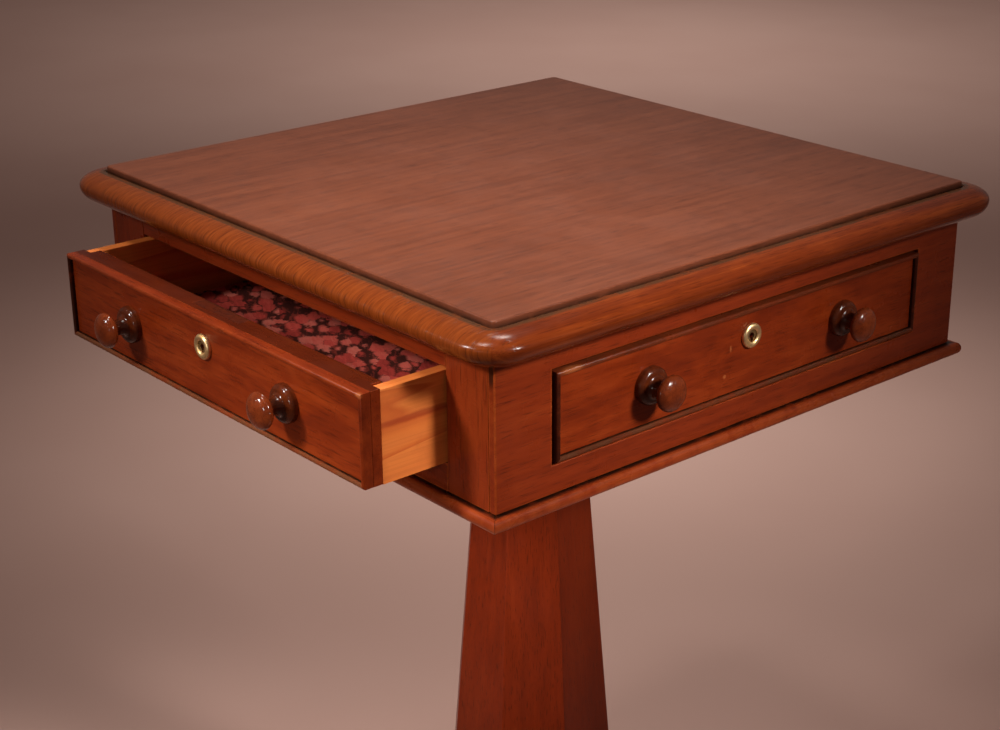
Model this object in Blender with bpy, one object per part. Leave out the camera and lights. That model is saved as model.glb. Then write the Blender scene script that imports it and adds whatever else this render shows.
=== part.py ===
"""Square occasional table with one drawer, three false drawer fronts and an octagonal column.

Units are metres and +Z is up. The open drawer faces -Y. The origin lies on the floor,
below the middle of the table's box with the drawer drawn out as photographed.
"""

import math

import bmesh
import bpy

# Overall sizes
TABLE_HEIGHT = 0.726
FRIEZE_WIDTH = 0.460
FRIEZE_HEIGHT = 0.102
BOARD = 0.020
SEAM = 0.0003
CUT_MARGIN = 0.002
MERGE_DISTANCE = 0.000001

# Top
TOP_THICKNESS = 0.028
TOP_OVERHANG = 0.0245
TOP_CORNER_RADIUS = 0.032
NOSE_WIDTH = 0.0235
NOSE_DEPTH = 0.0132
FIELD_STEP = 0.0045
FIELD_CORNER_RADIUS = 0.003
FILLET_WIDTH = 0.0025

# Drawer box
STILE_WIDTH = 0.047
TOP_RAIL_HEIGHT = 0.016
BOTTOM_RAIL_HEIGHT = 0.020
RAIL_DEPTH = 0.045
PANEL_LIP = 0.006
FALSE_RECESS = 0.010
CARCASS_BOTTOM_THICKNESS = 0.010
BEARER_WIDTH = 0.150
BEARER_THICKNESS = 0.008
GUIDE_HEIGHT = 0.020
RUNNER_INSIDE = 0.008
STOP_LENGTH = 0.030
STOP_DEPTH = 0.012
STOP_HEIGHT = 0.0042
STOP_INSET = 0.093

# Moulding under the frieze
BASE_MOULD_HEIGHT = 0.009
BASE_MOULD_PROUD = 0.0075
BASE_MOULD_WIDTH = 0.030
BASE_MOULD_FILLET = 0.003

# Drawer fronts, real and false
DRAWER_CLEARANCE = 0.001
FALSE_CLEARANCE = 0.002
DRAWER_FRONT_THICKNESS = 0.020
FRONT_LAP = 0.012
BEAD_WIDTH = 0.0035
BEAD_PROUD = 0.003
BEAD_SET = 0.0045

# Drawer
DRAWER_OPEN = 0.0625
DRAWER_SIDE_THICKNESS = 0.009
DRAWER_SIDE_INSET = 0.0005
DRAWER_SIDE_DROP = 0.001
DRAWER_BACK_THICKNESS = 0.008
DRAWER_BACK_DROP = 0.006
DRAWER_BACK_GAP = 0.012
DRAWER_BOTTOM_THICKNESS = 0.006
DRAWER_BOTTOM_RISE = 0.006
BOTTOM_GROOVE = 0.004
LINING_THICKNESS = 0.0006

# Knobs
KNOB_INSET = 0.086
KNOB_DROP = 0.0003
KNOB_LENGTH = 0.0265
KNOB_HEAD_DIAMETER = 0.0255
KNOB_HEAD_LENGTH = 0.0125
KNOB_NECK_DIAMETER = 0.0105
KNOB_ROSE_DIAMETER = 0.0272
KNOB_ROSE_HEIGHT = 0.006
KNOB_ROSE_EDGE = 0.002
KNOB_ROSE_ROUND = 0.0018
KNOB_SPIGOT_DIAMETER = 0.009
KNOB_SPIGOT_SHORT = 0.002

# Escutcheons and keyholes
ESCUTCHEON_RISE = 0.0105
ESCUTCHEON_DIAMETER = 0.018
ESCUTCHEON_PROUD = 0.0030
ESCUTCHEON_DISH_DIAMETER = 0.0086
ESCUTCHEON_DISH_PROUD = 0.0012
ESCUTCHEON_ROLL_WIDTH = 0.0008
ESCUTCHEON_ROLL_DROP = 0.0004
KEYHOLE_DIAMETER = 0.0046
KEYHOLE_SLOT_WIDTH = 0.0022
KEYHOLE_SLOT_DROP = 0.0046
FALSE_KEYHOLE_DEPTH = 0.006

# Drawer lock
LOCK_DEPTH = 0.010
LOCK_PLATE = 0.0015
LOCK_PLATE_WIDTH = 0.056
LOCK_CASE_WIDTH = 0.040
LOCK_CASE_WALL = 0.0012
LOCK_CASE_RISE = 0.004
LOCK_JOIN = 0.0005
LOCK_BELOW_KEY = 0.018
LOCK_SCREW_INSET = 0.004
LOCK_PIN_DIAMETER = 0.0026
LOCK_PIN_SHORT = 0.003
BOLT_WIDTH = 0.018
BOLT_THICKNESS = 0.004
BOLT_THROW = 0.008
BOLT_TAIL_GAP = 0.0035

# Column, collar, platform and feet
COLUMN_SIDES = 8
COLUMN_TOP_WIDTH = 0.0726
COLUMN_FOOT_WIDTH = 0.154
COLUMN_TURN = math.radians(5.0)
HEAD_TENON_DIAMETER = 0.042
FOOT_TENON_DIAMETER = 0.060
FOOT_TENON_SHORT = 0.004
COLLAR_HEIGHT = 0.026
COLLAR_PROUD = 0.018
COLLAR_PLINTH = 0.008
COLLAR_LIP = 0.004
PLATFORM_WIDTH = 0.420
PLATFORM_THICKNESS = 0.034
PLATFORM_HOLLOW = 0.046
PLATFORM_CORNER_CUT = 0.050
PLATFORM_EDGE_ROUND = 0.006
FOOT_HEIGHT = 0.050
FOOT_DIAMETER = 0.066
FOOT_PAD_DIAMETER = 0.044
FOOT_NECK_DIAMETER = 0.048
FOOT_RING_DIAMETER = 0.058
FOOT_RING_HEIGHT = 0.008
FOOT_RING_CHAMFER = 0.002
FOOT_INSET = 0.052
FOOT_SPIGOT_DIAMETER = 0.022
FOOT_SPIGOT_LENGTH = 0.020

# Screws
SCREW_HEAD_DIAMETER = 0.008
SCREW_HEAD_HEIGHT = 0.003
SCREW_SHANK_DIAMETER = 0.004
SCREW_TIP = 0.003
SCREW_SINK = 0.001
TOP_SCREW_BITE = 0.012
TOP_SCREW_INSET = 0.090
LOCK_SCREW_HEAD_DIAMETER = 0.0048
LOCK_SCREW_HEAD_HEIGHT = 0.0012
LOCK_SCREW_SHANK_DIAMETER = 0.0024
LOCK_SCREW_LENGTH = 0.010

# Facets of round forms
CORNER_STEPS = 6
NOSE_STEPS = 5
COLLAR_STEPS = 5
PLATFORM_EDGE_STEPS = 2
BEAD_STEPS = 4
BASE_MOULD_STEPS = 4
KNOB_STEPS = 20
KNOB_HEAD_STEPS = 7
ESCUTCHEON_STEPS = 24
FOOT_STEPS = 24
FOOT_BULGE_STEPS = 7
SCREW_STEPS = 10
SPIGOT_STEPS = 16
HOLLOW_STEPS = 12
KEYHOLE_STEPS = 10
SMOOTH_ANGLE = math.radians(40.0)

# Places worked out from the sizes
FRIEZE_HALF = FRIEZE_WIDTH / 2
TOP_HALF = FRIEZE_HALF + TOP_OVERHANG
TOP_UNDERSIDE = TABLE_HEIGHT - TOP_THICKNESS
CARCASS_TOP = TOP_UNDERSIDE - SEAM
FRIEZE_BOTTOM = TOP_UNDERSIDE - FRIEZE_HEIGHT
OPENING_TOP = TOP_UNDERSIDE - TOP_RAIL_HEIGHT
OPENING_BOTTOM = FRIEZE_BOTTOM + BOTTOM_RAIL_HEIGHT
OPENING_MIDDLE = (OPENING_TOP + OPENING_BOTTOM) / 2
OPENING_HALF_HEIGHT = (OPENING_TOP - OPENING_BOTTOM) / 2
OPENING_HALF_WIDTH = FRIEZE_HALF - STILE_WIDTH
PANEL_INSIDE = FRIEZE_HALF - BOARD
BOTTOM_BOARD_TOP = FRIEZE_BOTTOM + CARCASS_BOTTOM_THICKNESS
BEARER_BOTTOM = BOTTOM_BOARD_TOP + SEAM
BEARER_TOP = BEARER_BOTTOM + BEARER_THICKNESS
RAIL_BACK = RAIL_DEPTH - FRIEZE_HALF
PLATFORM_TOP = FOOT_HEIGHT + PLATFORM_THICKNESS
PLATFORM_HALF = PLATFORM_WIDTH / 2
COLUMN_FOOT = PLATFORM_TOP + SEAM
COLUMN_TOP = FRIEZE_BOTTOM - SEAM
FOOT_PLACE = PLATFORM_HALF - FOOT_INSET

# A turn about X that stands local +Z along -Y and local +Y along +Z
FACE_FRONT = (math.pi / 2, 0.0, 0.0)


def clear_scene():
    for obj in list(bpy.data.objects):
        bpy.data.objects.remove(obj, do_unlink=True)


def look(name, colour, roughness, metallic=0.0):
    material = bpy.data.materials.new(name)
    material.use_nodes = True
    shader = material.node_tree.nodes["Principled BSDF"]
    shader.inputs["Base Color"].default_value = (*colour, 1.0)
    shader.inputs["Roughness"].default_value = roughness
    shader.inputs["Metallic"].default_value = metallic
    return material


def make_looks():
    return {
        "top": look("mahogany_top", (0.19, 0.062, 0.030), 0.35),
        "frieze": look("mahogany_frieze", (0.17, 0.036, 0.014), 0.32),
        "front": look("mahogany_front", (0.18, 0.038, 0.015), 0.30),
        "column": look("mahogany_column", (0.18, 0.042, 0.016), 0.33),
        "knob": look("mahogany_knob", (0.070, 0.022, 0.014), 0.20),
        "pine": look("pine", (0.50, 0.22, 0.070), 0.60),
        "brass": look("aged_brass", (0.52, 0.36, 0.14), 0.35, 1.0),
        "steel": look("dull_steel", (0.30, 0.29, 0.28), 0.45, 1.0),
        "paper": look("lining_paper", (0.28, 0.060, 0.070), 0.80),
    }


def finish_mesh(name, bm, smooth=False):
    bmesh.ops.recalc_face_normals(bm, faces=bm.faces[:])
    mesh = bpy.data.meshes.new(name)
    bm.to_mesh(mesh)
    bm.free()
    if smooth:
        mesh.shade_smooth()
        mesh.set_sharp_from_angle(angle=SMOOTH_ANGLE)
    return mesh


def place(mesh, material, parent, location=(0.0, 0.0, 0.0), rotation=(0.0, 0.0, 0.0)):
    obj = bpy.data.objects.new(mesh.name, mesh)
    bpy.context.collection.objects.link(obj)
    if material is not None:
        mesh.materials.append(material)
    obj.parent = parent
    obj.location = location
    obj.rotation_euler = rotation
    return obj


def add_empty(name, parent, location, turn=0.0):
    obj = bpy.data.objects.new(name, None)
    bpy.context.collection.objects.link(obj)
    obj.parent = parent
    obj.location = location
    obj.rotation_euler = (0.0, 0.0, turn)
    return obj


def combine(target, tool, operation="DIFFERENCE"):
    tool.hide_render = True
    tool.display_type = "WIRE"
    modifier = target.modifiers.new(tool.name, "BOOLEAN")
    modifier.operation = operation
    modifier.solver = "EXACT"
    modifier.object = tool


def box_mesh(name, low, high):
    bm = bmesh.new()
    bmesh.ops.create_cube(bm, size=1.0)
    size = [b - a for a, b in zip(low, high)]
    middle = [(a + b) / 2 for a, b in zip(low, high)]
    bmesh.ops.scale(bm, vec=size, verts=bm.verts[:])
    bmesh.ops.translate(bm, vec=middle, verts=bm.verts[:])
    return finish_mesh(name, bm)


def prism_mesh(name, outline, bottom, top):
    bm = bmesh.new()
    base = bm.faces.new([bm.verts.new((x, y, bottom)) for x, y in outline])
    grown = bmesh.ops.extrude_face_region(bm, geom=[base])
    raised = [item for item in grown["geom"] if isinstance(item, bmesh.types.BMVert)]
    bmesh.ops.translate(bm, vec=(0.0, 0.0, top - bottom), verts=raised)
    return finish_mesh(name, bm)


def add_loft(bm, loops, ring=False):
    """Skin a row of closed loops with equal counts; a ring joins the last loop to the first."""
    rows = [[bm.verts.new(point) for point in loop] for loop in loops]
    pairs = list(zip(rows, rows[1:]))
    if ring:
        pairs.append((rows[-1], rows[0]))
    else:
        bm.faces.new(rows[0])
        bm.faces.new(rows[-1])
    count = len(rows[0])
    for lower, upper in pairs:
        for i in range(count):
            j = (i + 1) % count
            bm.faces.new((lower[i], lower[j], upper[j], upper[i]))


def loft_mesh(name, loops, ring=False, smooth=False):
    bm = bmesh.new()
    add_loft(bm, loops, ring)
    return finish_mesh(name, bm, smooth)


def turned_mesh(name, profile, steps):
    """Spin a (radius, height) profile, which starts and ends on the axis, about local Z."""
    bm = bmesh.new()
    points = [bm.verts.new((radius, 0.0, height)) for radius, height in profile]
    edges = [bm.edges.new(pair) for pair in zip(points, points[1:])]
    bmesh.ops.spin(
        bm, geom=points + edges, axis=(0.0, 0.0, 1.0), cent=(0.0, 0.0, 0.0),
        angle=2 * math.pi, steps=steps, use_merge=True)
    bmesh.ops.remove_doubles(bm, verts=bm.verts[:], dist=MERGE_DISTANCE)
    return finish_mesh(name, bm, True)


def cylinder_profile(diameter, bottom, top):
    return [(0.0, bottom), (diameter / 2, bottom), (diameter / 2, top), (0.0, top)]


def screw_profile(head, head_height, shank, length):
    """A countersunk screw with its head's face at zero and its tip at length."""
    return [
        (0.0, 0.0),
        (head / 2, 0.0),
        (shank / 2, head_height),
        (shank / 2, length - SCREW_TIP),
        (0.0, length),
    ]


def screw_bore_profile(head, head_height, shank, length, sink):
    """A hole a little wider than its screw, open past the face that the head is sunk below."""
    mouth = -sink - CUT_MARGIN
    return [
        (0.0, mouth),
        (head / 2 + SEAM, mouth),
        (head / 2 + SEAM, 0.0),
        (shank / 2 + SEAM, head_height),
        (shank / 2 + SEAM, length - SCREW_TIP),
        (0.0, length + SEAM),
    ]


def rounded_square(half, radius, height):
    points = []
    for corner in range(4):
        start = corner * math.pi / 2
        middle = start + math.pi / 4
        centre_x = math.copysign(half - radius, math.cos(middle))
        centre_y = math.copysign(half - radius, math.sin(middle))
        for step in range(CORNER_STEPS + 1):
            angle = start + step / CORNER_STEPS * math.pi / 2
            x = centre_x + radius * math.cos(angle)
            y = centre_y + radius * math.sin(angle)
            points.append((x, y, height))
    return points


def octagon(half, height):
    """Mid-flats and corners, in turn, of the column's octagon."""
    points = []
    for step in range(2 * COLUMN_SIDES):
        angle = COLUMN_TURN + step * math.pi / COLUMN_SIDES
        radius = half if step % 2 == 0 else half / math.cos(math.pi / COLUMN_SIDES)
        points.append((radius * math.cos(angle), radius * math.sin(angle), height))
    return points


def tenon_ring(diameter, height):
    """A round with as many points as the column's octagon."""
    points = []
    for step in range(2 * COLUMN_SIDES):
        angle = COLUMN_TURN + step * math.pi / COLUMN_SIDES
        points.append((diameter / 2 * math.cos(angle), diameter / 2 * math.sin(angle), height))
    return points


def column_half(height):
    """Half the width across the flats of the tapering column at one height."""
    share = (height - COLUMN_FOOT) / (COLUMN_TOP - COLUMN_FOOT)
    return (COLUMN_FOOT_WIDTH + (COLUMN_TOP_WIDTH - COLUMN_FOOT_WIDTH) * share) / 2


def top_rows():
    """(half width, depth below the surface, share of the way out) from the raised field to the underside.

    The nose rounds over to its widest line, then sweeps back under to the face of the frieze.
    """
    field = TOP_HALF - NOSE_WIDTH
    nose = field + FILLET_WIDTH
    upper = [(field, 0.0), (field, FIELD_STEP), (nose, FIELD_STEP)]
    lower = []
    for step in range(1, NOSE_STEPS + 1):
        angle = step / NOSE_STEPS * math.pi / 2
        out = nose + (TOP_HALF - nose) * math.sin(angle)
        upper.append((out, NOSE_DEPTH - (NOSE_DEPTH - FIELD_STEP) * math.cos(angle)))
        back = FRIEZE_HALF + TOP_OVERHANG * math.cos(angle)
        lower.append((back, NOSE_DEPTH + (TOP_THICKNESS - NOSE_DEPTH) * math.sin(angle)))
    rows = [(half, depth, (half - field) / NOSE_WIDTH) for half, depth in upper]
    rows += [(half, depth, (half - FRIEZE_HALF) / TOP_OVERHANG) for half, depth in lower]
    return rows


def make_top(table, looks):
    loops = []
    for half, depth, share in top_rows():
        radius = FIELD_CORNER_RADIUS + (TOP_CORNER_RADIUS - FIELD_CORNER_RADIUS) * share
        loops.append(rounded_square(half, radius, TABLE_HEIGHT - depth))
    return place(loft_mesh("table_top", loops, smooth=True), looks["top"], table)


def side_panel(name, side, table, looks):
    """A full-depth side whose thin lips lap the front stile and the back panel."""
    lip = FRIEZE_HALF - PANEL_LIP
    outline = [
        (lip, -FRIEZE_HALF), (FRIEZE_HALF, -FRIEZE_HALF),
        (FRIEZE_HALF, FRIEZE_HALF), (lip, FRIEZE_HALF),
        (lip, PANEL_INSIDE), (PANEL_INSIDE, PANEL_INSIDE),
        (PANEL_INSIDE, -PANEL_INSIDE), (lip, -PANEL_INSIDE),
    ]
    mirrored = [(side * x, y) for x, y in outline]
    return place(prism_mesh(name, mirrored, FRIEZE_BOTTOM, CARCASS_TOP), looks["frieze"], table)


def cut_false_recess(panel, holder):
    low = (-OPENING_HALF_WIDTH, -CUT_MARGIN, -OPENING_HALF_HEIGHT)
    high = (OPENING_HALF_WIDTH, FALSE_RECESS, OPENING_HALF_HEIGHT)
    combine(panel, place(box_mesh(panel.name + "_recess", low, high), None, holder))


def make_carcass(table, holders, looks):
    parts = {}
    for name, side in (("left_panel", -1), ("right_panel", 1)):
        parts[name] = side_panel(name, side, table, looks)
    lip = FRIEZE_HALF - PANEL_LIP - SEAM
    low = (-lip, PANEL_INSIDE + SEAM, FRIEZE_BOTTOM)
    high = (lip, FRIEZE_HALF, CARCASS_TOP)
    parts["back_panel"] = place(box_mesh("back_panel", low, high), looks["frieze"], table)
    for face in ("left", "right", "back"):
        cut_false_recess(parts[face + "_panel"], holders[face])
    stile_back = -PANEL_INSIDE - SEAM
    for name, side in (("front_stile_left", -1), ("front_stile_right", 1)):
        edges = sorted((side * OPENING_HALF_WIDTH, side * lip))
        low = (edges[0], -FRIEZE_HALF, FRIEZE_BOTTOM)
        high = (edges[1], stile_back, CARCASS_TOP)
        place(box_mesh(name, low, high), looks["frieze"], table)
    rail_half = OPENING_HALF_WIDTH - SEAM
    low = (-rail_half, -FRIEZE_HALF, OPENING_TOP)
    high = (rail_half, RAIL_BACK, CARCASS_TOP)
    parts["front_top_rail"] = place(box_mesh("front_top_rail", low, high), looks["frieze"], table)
    low = (-rail_half, -FRIEZE_HALF, FRIEZE_BOTTOM)
    high = (rail_half, RAIL_BACK, OPENING_BOTTOM)
    place(box_mesh("front_bottom_rail", low, high), looks["frieze"], table)
    return parts


def make_inside(table, looks):
    """Bottom board, column bearer, runners with their guides, kickers and stops."""
    parts = {}
    wall = PANEL_INSIDE - SEAM
    front = RAIL_BACK + SEAM
    low = (-wall, front, FRIEZE_BOTTOM)
    high = (wall, wall, BOTTOM_BOARD_TOP)
    parts["carcass_bottom"] = place(box_mesh("carcass_bottom", low, high), looks["pine"], table)
    low = (-BEARER_WIDTH / 2, front, BEARER_BOTTOM)
    high = (BEARER_WIDTH / 2, wall, BEARER_TOP)
    parts["column_bearer"] = place(box_mesh("column_bearer", low, high), looks["pine"], table)
    for word, side in (("left", -1), ("right", 1)):
        section = [(side * x, z) for x, z in runner_section()]
        ends = [[(x, y, z) for x, z in section] for y in (front, wall)]
        place(loft_mesh("drawer_runner_" + word, ends), looks["pine"], table)
        span = sorted((side * runner_inner_edge(), side * wall))
        kicker = box_mesh("kicker_" + word, (span[0], front, OPENING_TOP), (span[1], wall, CARCASS_TOP))
        parts["kicker_" + word] = place(kicker, looks["pine"], table)
        make_stop(word, side, table, looks)
    head_hole = tenon_hole("head_mortise", HEAD_TENON_DIAMETER, FRIEZE_BOTTOM, BEARER_TOP, table)
    for name in ("carcass_bottom", "column_bearer"):
        combine(parts[name], head_hole)
    return parts


def runner_inner_edge():
    return OPENING_HALF_WIDTH - DRAWER_SIDE_THICKNESS - RUNNER_INSIDE


def runner_section():
    """(x, z) round the right runner: a ledge under the drawer side and a guide beside it."""
    wall = PANEL_INSIDE - SEAM
    inner = runner_inner_edge()
    guide_top = OPENING_BOTTOM + GUIDE_HEIGHT
    return [
        (inner, BEARER_BOTTOM), (wall, BEARER_BOTTOM), (wall, guide_top),
        (OPENING_HALF_WIDTH, guide_top), (OPENING_HALF_WIDTH, OPENING_BOTTOM), (inner, OPENING_BOTTOM),
    ]


def make_stop(word, side, table, looks):
    """A block on the bottom rail that meets the shut drawer's front."""
    front = DRAWER_FRONT_THICKNESS - FRIEZE_HALF + SEAM
    middle = side * (OPENING_HALF_WIDTH - STOP_INSET)
    bottom = OPENING_BOTTOM + SEAM
    low = (middle - STOP_LENGTH / 2, front, bottom)
    high = (middle + STOP_LENGTH / 2, front + STOP_DEPTH, bottom + STOP_HEIGHT)
    place(box_mesh("drawer_stop_" + word, low, high), looks["pine"], table)


def base_mould_profile():
    """(distance out from the frieze face, height) round the strip's section."""
    nose = BASE_MOULD_PROUD - BASE_MOULD_FILLET
    half = BASE_MOULD_HEIGHT / 2
    top = FRIEZE_BOTTOM - SEAM
    points = [(BASE_MOULD_PROUD - BASE_MOULD_WIDTH, top), (nose, top)]
    for step in range(1, 2 * BASE_MOULD_STEPS):
        angle = math.pi / 2 - step / (2 * BASE_MOULD_STEPS) * math.pi
        points.append((nose + BASE_MOULD_FILLET * math.cos(angle), top - half + half * math.sin(angle)))
    points.append((nose, top - BASE_MOULD_HEIGHT))
    points.append((BASE_MOULD_PROUD - BASE_MOULD_WIDTH, top - BASE_MOULD_HEIGHT))
    return points


def make_base_mouldings(table, looks):
    for index, word in enumerate(("front", "right", "back", "left")):
        ends = []
        for side in (-1, 1):
            loop = []
            for out, height in base_mould_profile():
                reach = FRIEZE_HALF + out
                loop.append((side * (reach - SEAM / 2), -reach, height))
            ends.append(loop)
        mesh = loft_mesh("base_moulding_" + word, ends, smooth=True)
        place(mesh, looks["frieze"], table, rotation=(0.0, 0.0, index * math.pi / 2))


def front_halves(clearance):
    return OPENING_HALF_WIDTH - clearance, OPENING_HALF_HEIGHT - clearance


def rectangle(half_width, half_height, y):
    return [
        (-half_width, y, -half_height), (half_width, y, -half_height),
        (half_width, y, half_height), (-half_width, y, half_height),
    ]


def front_board(name, clearance, thickness, holder, looks):
    """A front with a rebate round its face for the bead; the face lies at y = 0."""
    half_width, half_height = front_halves(clearance)
    inset = BEAD_WIDTH + SEAM
    loops = [
        rectangle(half_width, half_height, thickness),
        rectangle(half_width, half_height, BEAD_SET + SEAM),
        rectangle(half_width - inset, half_height - inset, BEAD_SET + SEAM),
        rectangle(half_width - inset, half_height - inset, 0.0),
    ]
    return place(loft_mesh(name, loops), looks["front"], holder)


def bead_profile():
    """(distance in from the front's edge, y) round the bead's section, with a round nose."""
    half = BEAD_WIDTH / 2
    points = [(0.0, BEAD_SET)]
    for step in range(2 * BEAD_STEPS + 1):
        angle = math.pi - step / (2 * BEAD_STEPS) * math.pi
        points.append((half + half * math.cos(angle), half - BEAD_PROUD - half * math.sin(angle)))
    points.append((BEAD_WIDTH, BEAD_SET))
    return points


def make_bead(name, clearance, holder, looks):
    """Strips mitred into one frame round a front."""
    half_width, half_height = front_halves(clearance)
    corners = []
    for side_x, side_z in ((-1, -1), (1, -1), (1, 1), (-1, 1)):
        corner = []
        for inset, y in bead_profile():
            corner.append((side_x * (half_width - inset), y, side_z * (half_height - inset)))
        corners.append(corner)
    place(loft_mesh(name, corners, ring=True, smooth=True), looks["front"], holder)


def knob_profile(spigot_length):
    """Turned knob: spigot, flared rose, thin neck and flattened round head."""
    rose = KNOB_ROSE_DIAMETER / 2
    neck = KNOB_NECK_DIAMETER / 2
    head = KNOB_HEAD_DIAMETER / 2
    spigot = KNOB_SPIGOT_DIAMETER / 2
    head_middle = KNOB_LENGTH - KNOB_HEAD_LENGTH / 2
    neck_middle = (KNOB_ROSE_HEIGHT + KNOB_LENGTH - KNOB_HEAD_LENGTH) / 2
    points = [(0.0, -spigot_length), (spigot, -spigot_length), (spigot, 0.0), (rose, 0.0)]
    points.append((rose, KNOB_ROSE_EDGE))
    points.append((rose - KNOB_ROSE_ROUND, (KNOB_ROSE_EDGE + KNOB_ROSE_HEIGHT) / 2))
    points.append(((rose + neck) / 2, KNOB_ROSE_HEIGHT))
    points.append((neck, neck_middle))
    for step in range(1, KNOB_HEAD_STEPS):
        angle = step / KNOB_HEAD_STEPS * math.pi
        radius = head * math.sin(angle)
        if angle < math.pi / 2:
            radius = max(radius, neck)
        points.append((radius, head_middle - KNOB_HEAD_LENGTH / 2 * math.cos(angle)))
    points.append((0.0, KNOB_LENGTH))
    return points


def make_knobs(prefix, words, board, thickness, holder, looks):
    spigot_length = thickness - KNOB_SPIGOT_SHORT
    hole = cylinder_profile(KNOB_SPIGOT_DIAMETER + 2 * SEAM, -spigot_length - SEAM, CUT_MARGIN)
    for word, side in zip(words, (-1, 1)):
        name = prefix + "_knob_" + word
        spot = (side * (OPENING_HALF_WIDTH - KNOB_INSET), 0.0, -KNOB_DROP)
        bore = place(turned_mesh(name + "_bore", hole, SPIGOT_STEPS), None, holder, spot, FACE_FRONT)
        combine(board, bore)
        seat = (spot[0], -SEAM, spot[2])
        mesh = turned_mesh(name, knob_profile(spigot_length), KNOB_STEPS)
        place(mesh, looks["knob"], holder, seat, FACE_FRONT)


def escutcheon_profile():
    """Round boss with a rolled rim and a shallow dish."""
    outer = ESCUTCHEON_DIAMETER / 2
    dish = ESCUTCHEON_DISH_DIAMETER / 2
    crown = (outer + dish) / 2
    shoulder = ESCUTCHEON_PROUD - ESCUTCHEON_ROLL_DROP
    return [
        (0.0, 0.0), (outer, 0.0), (outer, ESCUTCHEON_DISH_PROUD),
        (outer - ESCUTCHEON_ROLL_WIDTH, shoulder),
        (crown, ESCUTCHEON_PROUD),
        (dish + ESCUTCHEON_ROLL_WIDTH, shoulder),
        (dish, ESCUTCHEON_DISH_PROUD), (0.0, ESCUTCHEON_DISH_PROUD),
    ]


def keyhole_outline():
    """A round eye with a slot below it, anticlockwise from the slot's right side."""
    radius = KEYHOLE_DIAMETER / 2
    half = KEYHOLE_SLOT_WIDTH / 2
    start = -math.acos(half / radius)
    sweep = math.pi - 2 * start
    points = [(half, -KEYHOLE_SLOT_DROP)]
    for step in range(KEYHOLE_STEPS + 1):
        angle = start + sweep * step / KEYHOLE_STEPS
        points.append((radius * math.cos(angle), radius * math.sin(angle)))
    points.append((-half, -KEYHOLE_SLOT_DROP))
    return points


def make_escutcheon(prefix, board, keyhole_depth, holder, looks):
    """The brass boss, and the keyhole cut through it into the front."""
    name = prefix + "_escutcheon"
    front = ESCUTCHEON_PROUD + SEAM + CUT_MARGIN
    mesh = prism_mesh(name + "_keyhole", keyhole_outline(), -keyhole_depth, front)
    keyhole = place(mesh, None, holder, (0.0, 0.0, ESCUTCHEON_RISE), FACE_FRONT)
    combine(board, keyhole)
    boss = turned_mesh(name, escutcheon_profile(), ESCUTCHEON_STEPS)
    seat = place(boss, looks["brass"], holder, (0.0, -SEAM, ESCUTCHEON_RISE), FACE_FRONT)
    combine(seat, keyhole)
    return keyhole


def make_false_front(face, words, holder, looks):
    prefix = face + "_false"
    thickness = FALSE_RECESS - SEAM
    board = front_board(prefix + "_front", FALSE_CLEARANCE, thickness, holder, looks)
    make_bead(prefix + "_bead", FALSE_CLEARANCE, holder, looks)
    make_knobs(prefix, words, board, thickness, holder, looks)
    make_escutcheon(prefix, board, FALSE_KEYHOLE_DEPTH, holder, looks)


def make_drawer(drawer, looks):
    """The drawer as it lies when shut; its parent stands it open."""
    holder = add_empty("drawer_face", drawer, (0.0, -FRIEZE_HALF, OPENING_MIDDLE))
    thickness = DRAWER_FRONT_THICKNESS
    board = front_board("drawer_front", DRAWER_CLEARANCE, thickness, holder, looks)
    make_bead("drawer_bead", DRAWER_CLEARANCE, holder, looks)
    make_knobs("drawer", ("left", "right"), board, thickness, holder, looks)
    key_depth = thickness - LOCK_DEPTH + LOCK_CASE_WALL + CUT_MARGIN
    keyhole = make_escutcheon("drawer", board, key_depth, holder, looks)
    make_drawer_box(drawer, board, looks)
    make_lock(holder, board, keyhole, looks)


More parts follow.
